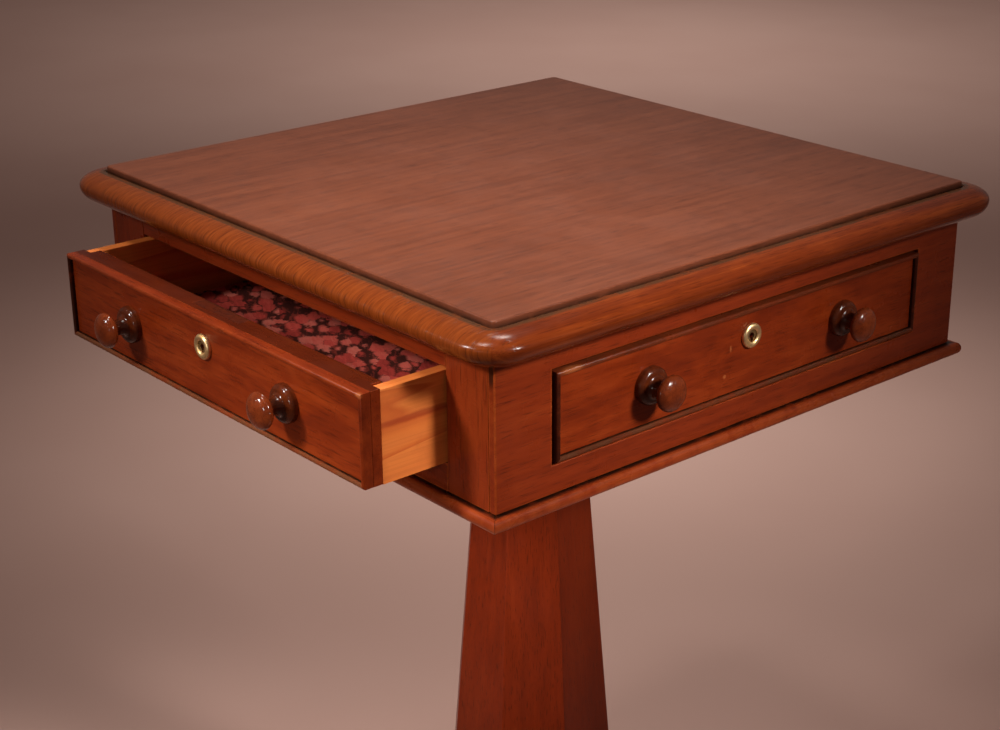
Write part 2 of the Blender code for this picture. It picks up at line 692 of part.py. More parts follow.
def make_drawer_box(drawer, board, looks):
    """Sides lapped into the front's ends, back, bottom and lining paper."""
    half_width, half_height = front_halves(DRAWER_CLEARANCE)
    outside = half_width - DRAWER_SIDE_INSET
    inside = outside - DRAWER_SIDE_THICKNESS
    front_inside = DRAWER_FRONT_THICKNESS - FRIEZE_HALF
    lap = FRONT_LAP - FRIEZE_HALF
    back = FRIEZE_HALF - BOARD - DRAWER_BACK_GAP
    low_edge = OPENING_BOTTOM + SEAM
    side_top = OPENING_MIDDLE + half_height - DRAWER_SIDE_DROP
    floor = low_edge + DRAWER_BOTTOM_RISE
    floor_top = floor + DRAWER_BOTTOM_THICKNESS
    groove = inside + BOTTOM_GROOVE
    groove_front = front_inside - BOTTOM_GROOVE

    low = (-groove, groove_front, floor)
    high = (groove, back, floor_top)
    place(box_mesh("drawer_bottom", low, high), looks["pine"], drawer)
    low = (-groove - SEAM, groove_front - SEAM, floor - SEAM)
    high = (groove + SEAM, back + CUT_MARGIN, floor_top + SEAM)
    trench = place(box_mesh("drawer_bottom_groove", low, high), None, drawer)
    combine(board, trench)

    for word, side in (("left", -1), ("right", 1)):
        name = "drawer_side_" + word
        span = sorted((side * inside, side * outside))
        mesh = box_mesh(name, (span[0], lap + SEAM, low_edge), (span[1], back, side_top))
        plank = place(mesh, looks["pine"], drawer)
        combine(plank, trench)
        span = sorted((side * (inside - SEAM), side * (half_width + CUT_MARGIN)))
        low = (span[0], lap, OPENING_MIDDLE - half_height - CUT_MARGIN)
        high = (span[1], front_inside + CUT_MARGIN, OPENING_MIDDLE + half_height + CUT_MARGIN)
        combine(board, place(box_mesh(name + "_rebate", low, high), None, drawer))

    back_front = back - DRAWER_BACK_THICKNESS
    low = (SEAM - inside, back_front, floor_top + SEAM)
    high = (inside - SEAM, back, side_top - DRAWER_BACK_DROP)
    place(box_mesh("drawer_back", low, high), looks["pine"], drawer)
    low = (SEAM - inside, front_inside + SEAM, floor_top + SEAM)
    high = (inside - SEAM, back_front - SEAM, floor_top + SEAM + LINING_THICKNESS)
    place(box_mesh("drawer_lining", low, high), looks["paper"], drawer)


def lock_places():
    """Heights and depths of the lock, measured from the front's face and middle."""
    half_height = front_halves(DRAWER_CLEARANCE)[1]
    return {
        "top": half_height,
        "foot": ESCUTCHEON_RISE - LOCK_BELOW_KEY,
        "inner": DRAWER_FRONT_THICKNESS,
        "plate": DRAWER_FRONT_THICKNESS - LOCK_PLATE,
        "outer": DRAWER_FRONT_THICKNESS - LOCK_DEPTH,
    }


def make_lock(holder, board, keyhole, looks):
    """The case let into the front, its bolt, and the beds that they lie in."""
    at = lock_places()
    half = LOCK_PLATE_WIDTH / 2
    low = (-half - SEAM, at["plate"] - SEAM, at["foot"] - SEAM)
    high = (half + SEAM, at["inner"] + CUT_MARGIN, at["top"] + CUT_MARGIN)
    combine(board, place(box_mesh("lock_plate_bed", low, high), None, holder))
    low = (-half - SEAM, at["outer"] - SEAM, at["top"] - LOCK_PLATE - SEAM)
    combine(board, place(box_mesh("lock_selvage_bed", low, high), None, holder))
    case_low = (-LOCK_CASE_WIDTH / 2, at["outer"], at["foot"] + LOCK_CASE_RISE)
    case_high = (LOCK_CASE_WIDTH / 2, at["plate"] + LOCK_JOIN, at["top"] - LOCK_PLATE + LOCK_JOIN)
    low = tuple(value - SEAM for value in case_low)
    high = (case_high[0] + SEAM, at["inner"], at["top"])
    combine(board, place(box_mesh("lock_case_bed", low, high), None, holder))
    bolt_low = (-BOLT_WIDTH / 2, at["plate"] - SEAM - BOLT_THICKNESS, ESCUTCHEON_RISE + BOLT_TAIL_GAP)
    bolt_high = (BOLT_WIDTH / 2, at["plate"] - SEAM, at["top"])
    bolt_slide = add_empty("bolt_slide", holder, (0.0, 0.0, 0.0))
    place(box_mesh("lock_bolt", bolt_low, bolt_high), looks["steel"], bolt_slide)
    case = make_lock_case(at, case_low, case_high, holder, looks)
    low = (bolt_low[0] - SEAM, bolt_low[1] - SEAM, at["top"] - LOCK_PLATE - CUT_MARGIN)
    high = (bolt_high[0] + SEAM, bolt_high[1] + SEAM / 2, at["top"] + CUT_MARGIN)
    combine(case, place(box_mesh("lock_bolt_slot", low, high), None, holder))
    combine(case, keyhole)
    make_lock_pin(at, case, holder)
    make_lock_screws(at, case, board, holder, looks)


def make_lock_case(at, low, high, holder, looks):
    """Back plate and top edge in one bent sheet, with a hollow box on it."""
    half = LOCK_PLATE_WIDTH / 2
    outline = [
        (at["inner"], at["foot"]),
        (at["inner"], at["top"]),
        (at["outer"], at["top"]),
        (at["outer"], at["top"] - LOCK_PLATE),
        (at["plate"], at["top"] - LOCK_PLATE),
        (at["plate"], at["foot"]),
    ]
    ends = [[(x, y, z) for y, z in outline] for x in (-half, half)]
    case = place(loft_mesh("lock_case", ends), looks["brass"], holder)
    combine(case, place(box_mesh("lock_case_box", low, high), None, holder), "UNION")
    hollow_low = tuple(value + LOCK_CASE_WALL for value in low)
    hollow_high = (high[0] - LOCK_CASE_WALL, at["plate"], at["top"] - LOCK_PLATE)
    combine(case, place(box_mesh("lock_case_hollow", hollow_low, hollow_high), None, holder))
    return case


def make_lock_pin(at, case, holder):
    """The pin that the key's barrel turns on, riveted to the back plate."""
    root = at["plate"] + LOCK_PLATE / 2
    pin = turned_mesh("lock_pin", cylinder_profile(LOCK_PIN_DIAMETER, -root, -LOCK_PIN_SHORT), SCREW_STEPS)
    combine(case, place(pin, None, holder, (0.0, 0.0, ESCUTCHEON_RISE), FACE_FRONT), "UNION")


def make_lock_screws(at, case, board, holder, looks):
    sizes = (LOCK_SCREW_HEAD_DIAMETER, LOCK_SCREW_HEAD_HEIGHT, LOCK_SCREW_SHANK_DIAMETER, LOCK_SCREW_LENGTH)
    height = (at["foot"] + at["top"]) / 2
    for word, side in (("left", -1), ("right", 1)):
        name = "lock_screw_" + word
        spot = (side * (LOCK_PLATE_WIDTH / 2 - LOCK_SCREW_INSET), at["inner"] - SEAM, height)
        hole = turned_mesh(name + "_bore", screw_bore_profile(*sizes, SEAM), SCREW_STEPS)
        bore = place(hole, None, holder, spot, FACE_FRONT)
        combine(board, bore)
        combine(case, bore)
        place(turned_mesh(name, screw_profile(*sizes), SCREW_STEPS), looks["steel"], holder, spot, FACE_FRONT)


def make_column(table, looks):
    tenon_top = BEARER_TOP
    tenon_foot = FOOT_HEIGHT + FOOT_TENON_SHORT
    loops = [
        tenon_ring(FOOT_TENON_DIAMETER, tenon_foot),
        tenon_ring(FOOT_TENON_DIAMETER, COLUMN_FOOT),
        octagon(COLUMN_FOOT_WIDTH / 2, COLUMN_FOOT),
        octagon(COLUMN_TOP_WIDTH / 2, COLUMN_TOP),
        tenon_ring(HEAD_TENON_DIAMETER, COLUMN_TOP),
        tenon_ring(HEAD_TENON_DIAMETER, tenon_top),
    ]
    place(loft_mesh("column", loops), looks["column"], table)


def tenon_hole(name, diameter, bottom, top, table):
    """A cutter for a turned tenon that runs past both faces."""
    wide = diameter + 2 * SEAM
    loops = [tenon_ring(wide, bottom - CUT_MARGIN), tenon_ring(wide, top + CUT_MARGIN)]
    return place(loft_mesh(name, loops), None, table)


def make_collar(table, looks):
    """A moulding that drops over the column's narrow head and seats round its foot."""
    foot = COLUMN_FOOT
    top = foot + COLLAR_HEIGHT
    shoulder = foot + COLLAR_PLINTH
    inside_foot = column_half(foot) + SEAM
    inside_top = column_half(top) + SEAM
    lip = inside_top + COLLAR_LIP
    plinth = inside_foot + COLLAR_PROUD
    loops = [
        octagon(inside_top, top),
        octagon(inside_foot, foot),
        octagon(plinth, foot),
        octagon(plinth, shoulder),
    ]
    for step in range(1, COLLAR_STEPS + 1):
        angle = step / COLLAR_STEPS * math.pi / 2
        half = plinth - (plinth - lip) * math.sin(angle)
        loops.append(octagon(half, top - (top - shoulder) * math.cos(angle)))
    place(loft_mesh("column_collar", loops, ring=True), looks["column"], table)


def platform_outline():
    """Four hollow sides between corners cut straight across, anticlockwise."""
    chord = PLATFORM_HALF - PLATFORM_CORNER_CUT
    radius = (chord ** 2 + PLATFORM_HOLLOW ** 2) / (2 * PLATFORM_HOLLOW)
    centre = -PLATFORM_HALF - (radius - PLATFORM_HOLLOW)
    sweep = math.asin(chord / radius)
    points = []
    for side in range(4):
        turn = side * math.pi / 2
        for step in range(HOLLOW_STEPS + 1):
            angle = -sweep + 2 * sweep * step / HOLLOW_STEPS
            x = radius * math.sin(angle)
            y = centre + radius * math.cos(angle)
            points.append((x * math.cos(turn) - y * math.sin(turn), x * math.sin(turn) + y * math.cos(turn)))
    return points


def round_upper_edge(mesh, height):
    """Round over the outline at one height with a bevel."""
    bm = bmesh.new()
    bm.from_mesh(mesh)
    rim = [edge for edge in bm.edges if all(abs(vert.co.z - height) < SEAM / 2 for vert in edge.verts)]
    bmesh.ops.bevel(
        bm, geom=rim, offset=PLATFORM_EDGE_ROUND, offset_type="OFFSET",
        segments=PLATFORM_EDGE_STEPS, profile=0.5, affect="EDGES")
    bm.to_mesh(mesh)
    bm.free()


def foot_profile():
    """Turned foot from its floor pad to the spigot that enters the platform."""
    pad = FOOT_PAD_DIAMETER / 2
    belly = FOOT_DIAMETER / 2
    neck = FOOT_NECK_DIAMETER / 2
    ring = FOOT_RING_DIAMETER / 2
    spigot = FOOT_SPIGOT_DIAMETER / 2
    top = FOOT_HEIGHT - SEAM
    ring_foot = top - FOOT_RING_HEIGHT
    belly_height = ring_foot / 2
    points = [(0.0, 0.0), (pad, 0.0)]
    for step in range(1, FOOT_BULGE_STEPS):
        share = step / FOOT_BULGE_STEPS
        edge = pad if 2 * step < FOOT_BULGE_STEPS else neck
        swell = math.sin(share * math.pi)
        points.append((edge + (belly - edge) * swell, belly_height * (1 - math.cos(share * math.pi))))
    points += [(neck, ring_foot), (ring, ring_foot + FOOT_RING_CHAMFER), (ring, top)]
    points += [(spigot, top), (spigot, top + FOOT_SPIGOT_LENGTH), (0.0, top + FOOT_SPIGOT_LENGTH)]
    return points


def make_base(table, looks):
    mesh = prism_mesh("platform", platform_outline(), FOOT_HEIGHT, PLATFORM_TOP)
    round_upper_edge(mesh, PLATFORM_TOP)
    platform = place(mesh, looks["column"], table)
    combine(platform, tenon_hole("platform_mortise", FOOT_TENON_DIAMETER, FOOT_HEIGHT, PLATFORM_TOP, table))
    hole_top = FOOT_HEIGHT + FOOT_SPIGOT_LENGTH
    hole = cylinder_profile(FOOT_SPIGOT_DIAMETER + 2 * SEAM, FOOT_HEIGHT - CUT_MARGIN, hole_top)
    for word_y, side_y in (("front", -1), ("back", 1)):
        for word_x, side_x in (("left", -1), ("right", 1)):
            name = "foot_" + word_y + "_" + word_x
            spot = (side_x * FOOT_PLACE, side_y * FOOT_PLACE, 0.0)
            bore = place(turned_mesh(name + "_bore", hole, SPIGOT_STEPS), None, table, spot)
            combine(platform, bore)
            place(turned_mesh(name, foot_profile(), FOOT_STEPS), looks["column"], table, spot)


def make_top_screws(table, top, inside, looks):
    """Screws driven up through the kickers into the top."""
    length = CARCASS_TOP - OPENING_TOP - SCREW_SINK + SEAM + TOP_SCREW_BITE
    line = (runner_inner_edge() + PANEL_INSIDE - SEAM) / 2
    sizes = (SCREW_HEAD_DIAMETER, SCREW_HEAD_HEIGHT, SCREW_SHANK_DIAMETER, length)
    for word_y, side_y in (("front", -1), ("back", 1)):
        for word_x, side_x in (("left", -1), ("right", 1)):
            name = "top_screw_" + word_y + "_" + word_x
            spot = (side_x * line, side_y * (PANEL_INSIDE - TOP_SCREW_INSET), OPENING_TOP + SCREW_SINK)
            hole = turned_mesh(name + "_bore", screw_bore_profile(*sizes, SCREW_SINK), SCREW_STEPS)
            bore = place(hole, None, table, spot)
            combine(top, bore)
            combine(inside["kicker_" + word_x], bore)
            place(turned_mesh(name, screw_profile(*sizes), SCREW_STEPS), looks["steel"], table, spot)


def cut_bolt_mortise(rail, table):
    """The pocket over the shut drawer's bolt."""
    at = lock_places()
    face = -FRIEZE_HALF
    low = (-BOLT_WIDTH / 2 - SEAM, face + at["plate"] - BOLT_THICKNESS - 2 * SEAM, OPENING_TOP - CUT_MARGIN)
    high = (BOLT_WIDTH / 2 + SEAM, face + at["plate"] + SEAM, OPENING_TOP + BOLT_THROW + SEAM)
    combine(rail, place(box_mesh("bolt_mortise", low, high), None, table))


def main():
    clear_scene()
    looks = make_looks()
    table = add_empty("table", None, (0.0, DRAWER_OPEN / 2, 0.0))
    drawer = add_empty("drawer_slide", table, (0.0, -DRAWER_OPEN, 0.0))
    spots = {
        "right": ((FRIEZE_HALF, 0.0, OPENING_MIDDLE), math.pi / 2),
        "back": ((0.0, FRIEZE_HALF, OPENING_MIDDLE), math.pi),
        "left": ((-FRIEZE_HALF, 0.0, OPENING_MIDDLE), -math.pi / 2),
    }
    holders = {face: add_empty(face + "_face", table, spot, turn) for face, (spot, turn) in spots.items()}

    top = make_top(table, looks)
    carcass = make_carcass(table, holders, looks)
    inside = make_inside(table, looks)
    make_base_mouldings(table, looks)
    make_false_front("right", ("front", "back"), holders["right"], looks)
    make_false_front("back", ("right", "left"), holders["back"], looks)
    make_false_front("left", ("back", "front"), holders["left"], looks)
    make_drawer(drawer, looks)
    cut_bolt_mortise(carcass["front_top_rail"], table)
    make_top_screws(table, top, inside, looks)
    make_column(table, looks)
    make_collar(table, looks)
    make_base(table, looks)


main()
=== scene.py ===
"""Looks of the occasional table: finishes, finer forms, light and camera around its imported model.

Units are metres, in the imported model's own frame: +Z up, the drawer opens towards -Y.
"""

import math
from collections import namedtuple

import bmesh
import bpy
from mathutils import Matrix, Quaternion, Vector


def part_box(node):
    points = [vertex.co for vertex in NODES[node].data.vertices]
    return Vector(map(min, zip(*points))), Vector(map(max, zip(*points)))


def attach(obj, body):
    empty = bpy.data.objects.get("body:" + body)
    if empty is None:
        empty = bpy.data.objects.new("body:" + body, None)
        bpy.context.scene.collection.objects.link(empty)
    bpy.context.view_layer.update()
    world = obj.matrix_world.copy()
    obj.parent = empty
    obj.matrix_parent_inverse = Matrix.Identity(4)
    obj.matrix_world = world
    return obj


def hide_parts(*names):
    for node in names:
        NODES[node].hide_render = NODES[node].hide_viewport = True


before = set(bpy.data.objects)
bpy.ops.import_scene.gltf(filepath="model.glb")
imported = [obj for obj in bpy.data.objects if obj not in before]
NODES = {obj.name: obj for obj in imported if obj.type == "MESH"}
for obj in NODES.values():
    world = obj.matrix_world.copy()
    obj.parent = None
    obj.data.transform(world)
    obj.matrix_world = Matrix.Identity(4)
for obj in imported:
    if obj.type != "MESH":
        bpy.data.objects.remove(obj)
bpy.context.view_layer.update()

# Table top
TOP_CORNER_RADIUS = 0.032
FIELD_CORNER_RADIUS = 0.003
NOSE_WIDTH = 0.0235
NOSE_DEPTH = 0.0132
FIELD_STEP = 0.0045
FIELD_ROUND = 0.0012
QUIRK_WIDTH = 0.0011
QUIRK_DEPTH = 0.0012
FILLET_WIDTH = 0.0025
NOSE_LIFT = 0.0004

# Mouldings under the frieze and round the fronts
BASE_MOULD_PROUD = 0.0075
BASE_MOULD_FILLET = 0.003
BASE_DIRT_WIDTH = 0.0016
BEAD_WIDTH = 0.0035
BEAD_PROUD = 0.003
BEAD_SET = 0.0045
MITRE_GAP = 0.00015

# How dark, dull and rubbed the marked places are; the dark is dirt in the quirk and on the fillet,
# painted shade on the knobs' roses and necks, and painted shade with some dirt in the beads' gaps
GAP_DIRT_AND_SHADE = 0.9
KNOB_PAINTED_SHADE = 0.5
FILLET_DIRT = 0.35
FILLET_BLOOM = 0.8
BASE_WEAR = 0.4

# How far a point may lie off a flat and still be marked with it, and how far dirt spreads past its gap
FLAT_RISE = 0.00005
GAP_SPREAD = 1.5
DISH_SPREAD = 1.05

# Knobs
KNOB_LENGTH = 0.0265
KNOB_HEAD_DIAMETER = 0.0255
KNOB_HEAD_LENGTH = 0.0125
KNOB_NECK_DIAMETER = 0.0105
KNOB_ROSE_DIAMETER = 0.0272
KNOB_ROSE_TOP_DIAMETER = 0.018
KNOB_ROSE_HEIGHT = 0.006
KNOB_ROSE_EDGE = 0.002

# Keyhole bosses
ESCUTCHEON_DIAMETER = 0.018
ESCUTCHEON_PROUD = 0.0030
ESCUTCHEON_RIM = 0.0012
ESCUTCHEON_DISH_DIAMETER = 0.0086
ESCUTCHEON_DISH_PROUD = 0.0012
KEYHOLE_DIAMETER = 0.0046
KEYHOLE_SLOT_WIDTH = 0.0022
KEYHOLE_SLOT_DROP = 0.0046
LEAST_COSINE = 0.001

# Column foot, platform and feet
COLUMN_SIDES = 8
COLUMN_TURN = math.radians(5.0)
COLUMN_TOP_WIDTH = 0.0726
COLLAR_PLINTH = 0.008
COLLAR_LIP = 0.004
COLLAR_PROUD = 0.018
COLLAR_EASE = 0.0006
PLATFORM_HOLLOW = 0.046
PLATFORM_CORNER_CUT = 0.050
PLATFORM_EDGE_ROUND = 0.006
FOOT_HEIGHT = 0.0497
FOOT_PAD_DIAMETER = 0.044
FOOT_NECK_DIAMETER = 0.048
FOOT_RING_DIAMETER = 0.058
FOOT_RING_HEIGHT = 0.008
FOOT_RING_ROUND = 0.002

# Steps round curved forms
CORNER_STEPS = 20
NOSE_STEPS = 14
ROUND_STEPS = 5
BEAD_STEPS = 10
COLLAR_STEPS = 14
HOLLOW_STEPS = 44
TURN_STEPS = 56
EASE_SEGMENTS = 2
PLATFORM_EDGE_SEGMENTS = 5
SMOOTH_ANGLE = math.radians(35.0)

# Points closer than this are one, in the model's meshes and in turned ones
WELD_DISTANCE = 0.00001
TURN_WELD_DISTANCE = 0.000001

# How far a piece's seed moves its textures, and the full-strength part of a spot
SEED_STEP = (1.7, 2.3, 3.1)
SPOT_CORE = 0.3

# Camera and floor
CAMERA_PLACE = (1.0389, -0.8745, 1.1145)
CAMERA_YAW = math.radians(-47.73)
CAMERA_PITCH = math.radians(-21.72)
CAMERA_ROLL = math.radians(0.26)
CAMERA_LENS = 67.47
CAMERA_SENSOR = 36.0
CAMERA_SHIFT = (-0.0669, 0.0043)
FLOOR_HALF = 14.0


class Graph:
    """A material's node tree, with short calls for the nodes used here."""

    def __init__(self, name):
        self.material = bpy.data.materials.new(name)
        self.material.use_nodes = True
        self.tree = self.material.node_tree
        self.shader = self.tree.nodes["Principled BSDF"]

    def feed(self, socket, value):
        if isinstance(value, bpy.types.NodeSocket):
            self.tree.links.new(value, socket)
        else:
            socket.default_value = value

    def node(self, kind, inputs, **settings):
        made = self.tree.nodes.new(kind)
        for key, value in settings.items():
            setattr(made, key, value)
        for key, value in inputs.items():
            self.feed(made.inputs[key], value)
        return made

    def shade(self, inputs):
        for key, value in inputs.items():
            self.feed(self.shader.inputs[key], value)

    def own_place(self):
        """The piece's own coordinates."""
        return self.node("ShaderNodeTexCoord", {}).outputs["Object"]

    def place(self):
        """The piece's own coordinates, moved by its seed so that no two boards match."""
        seed = self.node("ShaderNodeAttribute", {}, attribute_type="OBJECT", attribute_name="seed")
        return self.offset(seed.outputs["Fac"], SEED_STEP, self.own_place())

    def offset(self, amount, step, vector):
        """A vector moved by an amount of a step."""
        inputs = {0: amount, 1: step, 2: vector}
        return self.node("ShaderNodeVectorMath", inputs, operation="MULTIPLY_ADD").outputs[0]

    def stretch(self, vector, scale):
        return self.node("ShaderNodeMapping", {"Vector": vector, "Scale": scale}).outputs[0]

    def noise(self, vector, scale=1.0, detail=3.0, rough=0.55, bend=0.0):
        inputs = {
            "Vector": vector, "Scale": scale, "Detail": detail, "Roughness": rough, "Distortion": bend}
        return self.node("ShaderNodeTexNoise", inputs).outputs[0]

    def math(self, operation, first, second=0.0, third=0.0):
        inputs = {0: first, 1: second, 2: third}
        return self.node("ShaderNodeMath", inputs, operation=operation).outputs[0]

    def blend(self, parts):
        """The sum of values, each with its weight."""
        total = 0.0
        for value, weight in parts:
            total = self.math("MULTIPLY_ADD", value, weight, total)
        return total

    def span(self, value, low, high, start=0.0, end=1.0):
        """Maps low..high smoothly onto start..end."""
        inputs = {"Value": value, "From Min": low, "From Max": high, "To Min": start, "To Max": end}
        return self.node("ShaderNodeMapRange", inputs, interpolation_type="SMOOTHSTEP").outputs[0]

    def mix(self, share, first, second):
        inputs = {0: share, 6: first, 7: second}
        return self.node("ShaderNodeMix", inputs, data_type="RGBA").outputs[2]

    def ramp(self, value, stops):
        made = self.node("ShaderNodeValToRGB", {"Fac": value})
        band = made.color_ramp
        while len(band.elements) < len(stops):
            band.elements.new(0.5)
        for element, (place, colour) in zip(band.elements, stops):
            element.position = place
            element.color = colour
        return made.outputs["Color"]

    def mark(self, name):
        """A number stored at each point of a finer form; nothing elsewhere."""
        return self.node("ShaderNodeAttribute", {}, attribute_name=name).outputs["Fac"]

    def near(self, vector, spot, size):
        """One at a spot, falling to nothing at its size along each axis."""
        away = self.node("ShaderNodeVectorMath", {0: vector, 1: spot}, operation="SUBTRACT").outputs[0]
        scale = tuple(1.0 / length for length in size)
        away = self.node("ShaderNodeVectorMath", {0: away, 1: scale}, operation="MULTIPLY").outputs[0]
        distance = self.node("ShaderNodeVectorMath", {0: away}, operation="LENGTH").outputs["Value"]
        return self.span(distance, SPOT_CORE, 1.0, 1.0, 0.0)

    def facing(self, axis):
        """How far a face looks along an axis, either way."""
        normal = self.node("ShaderNodeNewGeometry", {}).outputs["Normal"]
        return self.math("ABSOLUTE", self.node("ShaderNodeSeparateXYZ", {0: normal}).outputs[axis])

    def bump(self, height, distance, strength=1.0):
        inputs = {"Height": height, "Distance": distance, "Strength": strength}
        return self.node("ShaderNodeBump", inputs).outputs["Normal"]


def srgb(red, green, blue):
    """A colour as a screen shows it, 0 to 255, turned linear, with full alpha."""
    linear = []
    for value in (red, green, blue):
        share = value / 255
        linear.append(share / 12.92 if share <= 0.04045 else ((share + 0.055) / 1.055) ** 2.4)
    return (*linear, 1.0)


# A timber's dark, middle and light tones, pores and rubbed tone, its finish, how narrow its range of
# figure is, and the shares of ribbon, mottle and streak in it
Timber = namedtuple("Timber", "dark middle light pore worn rough ior spread figure")
TIMBERS = {
    "top": Timber(
        srgb(94, 46, 27), srgb(113, 58, 36), srgb(127, 68, 43), srgb(60, 26, 14), srgb(140, 78, 47),
        0.36, 1.36, 0.24, (0.30, 0.20, 0.50)),
    "nose": Timber(
        srgb(84, 29, 9), srgb(106, 41, 12), srgb(132, 59, 20), srgb(56, 19, 6), srgb(146, 74, 30),
        0.18, 1.30, 0.22, (0.15, 0.25, 0.60)),
    "nose_end": Timber(
        srgb(84, 34, 11), srgb(118, 52, 17), srgb(150, 76, 29), srgb(56, 20, 7), srgb(146, 74, 30),
        0.18, 1.30, 0.55, (0.04, 0.16, 0.80)),
    "frieze": Timber(
        srgb(98, 31, 11), srgb(122, 42, 15), srgb(138, 54, 21), srgb(60, 18, 6), srgb(154, 70, 30),
        0.30, 1.30, 0.24, (0.35, 0.25, 0.40)),
    "front": Timber(
        srgb(90, 27, 9), srgb(118, 40, 12), srgb(140, 54, 19), srgb(56, 17, 5), srgb(172, 84, 36),
        0.30, 1.24, 0.22, (0.30, 0.42, 0.28)),
    "column": Timber(
        srgb(106, 33, 11), srgb(130, 42, 13), srgb(144, 52, 19), srgb(62, 19, 6), srgb(150, 64, 26),
        0.34, 1.28, 0.26, (0.40, 0.22, 0.38)),
    "knob": Timber(
        srgb(74, 26, 10), srgb(104, 41, 16), srgb(126, 55, 23), srgb(46, 16, 7), srgb(140, 72, 40),
        0.12, 1.38, 0.20, (0.35, 0.30, 0.35)),
}
TIMBERS["worn"] = TIMBERS["front"]._replace(
    dark=srgb(118, 42, 14), middle=srgb(140, 56, 20), light=srgb(160, 74, 30), rough=0.36)

# Other tones; a pair is mixed by noise, and a list is a ramp
# Dark tone for dirt and stains, and for painted shade on the knobs and in the beads' gaps
DARK_DIRT_AND_SHADE = srgb(26, 13, 7)
BLOOM = srgb(84, 60, 40)
SCUFF = srgb(170, 94, 50)
PINE_RINGS = [
    (0.0, srgb(222, 124, 56)),
    (0.55, srgb(216, 117, 51)),
    (0.86, srgb(202, 100, 41)),
    (0.94, srgb(194, 92, 37)),
    (1.0, srgb(222, 124, 56)),
]
PINE_HAIR = srgb(180, 90, 38)
PINE_STAIN = srgb(156, 74, 31)
PINE_SEAM = srgb(150, 52, 20)
BRASS = (srgb(252, 218, 164), srgb(206, 162, 104))
BRASS_DIRT = srgb(58, 40, 22)
TARNISH = (srgb(72, 25, 10), srgb(58, 19, 8))
STEEL = (srgb(96, 84, 76), srgb(70, 52, 40))
PETALS = [(0.15, srgb(160, 46, 40)), (0.5, srgb(228, 84, 72)), (0.85, srgb(244, 128, 110))]
PAPER_GROUND = (srgb(78, 29, 21), srgb(152, 57, 46))
FLOOR = (srgb(210, 173, 161), srgb(204, 166, 154))

# Scales of a board's figure along and across the grain
RIBBON_SCALE = (1.5, 15.0)
MOTTLE_SCALE = (20.0, 60.0)
STREAK_SCALE = (5.0, 190.0)
END_STREAK_SCALE = (45.0, 460.0)
PORE_SCALE = (55.0, 1300.0)
RING_SCALE = (1.3, 15.0)
HAIR_SCALE = (9.0, 520.0)
RING_COUNT = 11.0

# How strongly pores, scuffs, stains, the softwood's seam and the brass's dirt show
PORE_SHARE = 0.5
SCUFF_SHARE = 0.6
STAIN_SHARE = 0.85
SEAM_SHARE = 0.7
BRASS_DIRT_SHARE = 0.6

# How deep each surface is
GRAIN_DEPTH = 0.00012
PINE_DEPTH = 0.00018
BRASS_DEPTH = 0.00004
STEEL_DEPTH = 0.00005
PAPER_DEPTH = 0.00008

# Two pale scuffs on the right-hand false front, each as its place and size
SCUFFS = [
    ((0.230, 0.0120, 0.6540), (0.004, 0.0012, 0.0034)),
    ((0.230, 0.0067, 0.6349), (0.004, 0.0020, 0.0020)),
]

# A dark run under the nose at the near corner
CORNER_STAIN = ((0.2270, -0.1988, 0.6900), (0.0045, 0.0040, 0.0130))

# A rubbed stretch of the right-hand bead and a chip in the drawer's, both in the bead's own frame
BEAD_RUB = ((-0.1680, -0.0030, 0.0305), (0.0120, 0.0060, 0.0050))
BEAD_CHIP = ((0.1795, -0.0030, 0.0310), (0.0040, 0.0040, 0.0030))

# A reddish seam in the right-hand drawer side, and how far it wavers
DRAWER_SIDE_SEAM = ((0.1815, -0.2200, 0.6590), (0.006, 0.060, 0.0034))
SEAM_WAVER = (0.0, 0.0, 0.006)

# How far the drawer front's top and ends are darkened, and how far painted shade darkens the column's
# sideways flats
DRAWER_FACING_DARKENING = [("Z", 0.75), ("X", 0.2)]
COLUMN_PAINTED_SHADE = [("X", 0.36)]

# Petals of the lining paper: their turn, how many fit in a metre each way, and how far they sway
PETAL_TURN = math.radians(24.0)
PETALS_PER_METRE = (66.0, 104.0)
PETAL_SWAY = (0.022, -0.016, 0.0)
BRUSH_SCALE = (90.0, 420.0, 60.0)
LEAF_SCALE = (120.0, 260.0, 60.0)

# The axes that plain boards' grain runs along
PINE_GRAINS = "xy"
GRAINS = {"frieze": "xyz", "front": "xy", "column": "xz", "worn": "xyz"}

# Boards with more to them: timber, the axes that the grain runs along, and what is added
FINISHES = {
    "drawer_front": ("front", "x", {"facing_darkening": DRAWER_FACING_DARKENING}),
    # The column's sideways flats get painted shade
    "shaft": ("column", "z", {"facing_darkening": COLUMN_PAINTED_SHADE}),
    "scuffed_front": ("front", "y", {"scuffs": SCUFFS}),
    "corner_panel": ("frieze", "y", {"stains": [CORNER_STAIN]}),
    "moulding": ("frieze", "x", {"marked": True}),
    "bead": ("front", "x", {"marked": True}),
    "rubbed_bead": ("front", "x", {"marked": True, "scuffs": [BEAD_RUB]}),
    "chipped_bead": ("front", "x", {"marked": True, "scuffs": [BEAD_CHIP]}),
    "top": ("top", "y", {"marked": True}),
    "nose_long": ("nose", "y", {"marked": True}),
    "nose_end": ("nose_end", "yz", {"marked": True, "streaks": END_STREAK_SCALE}),
    "knob": ("knob", "z", {"marked": True}),
}


def along(slow, slow_scale, fast_scale):
    """A scale for a texture drawn out along the axes named in slow."""
    return tuple(slow_scale if axis in slow else fast_scale for axis in "xyz")


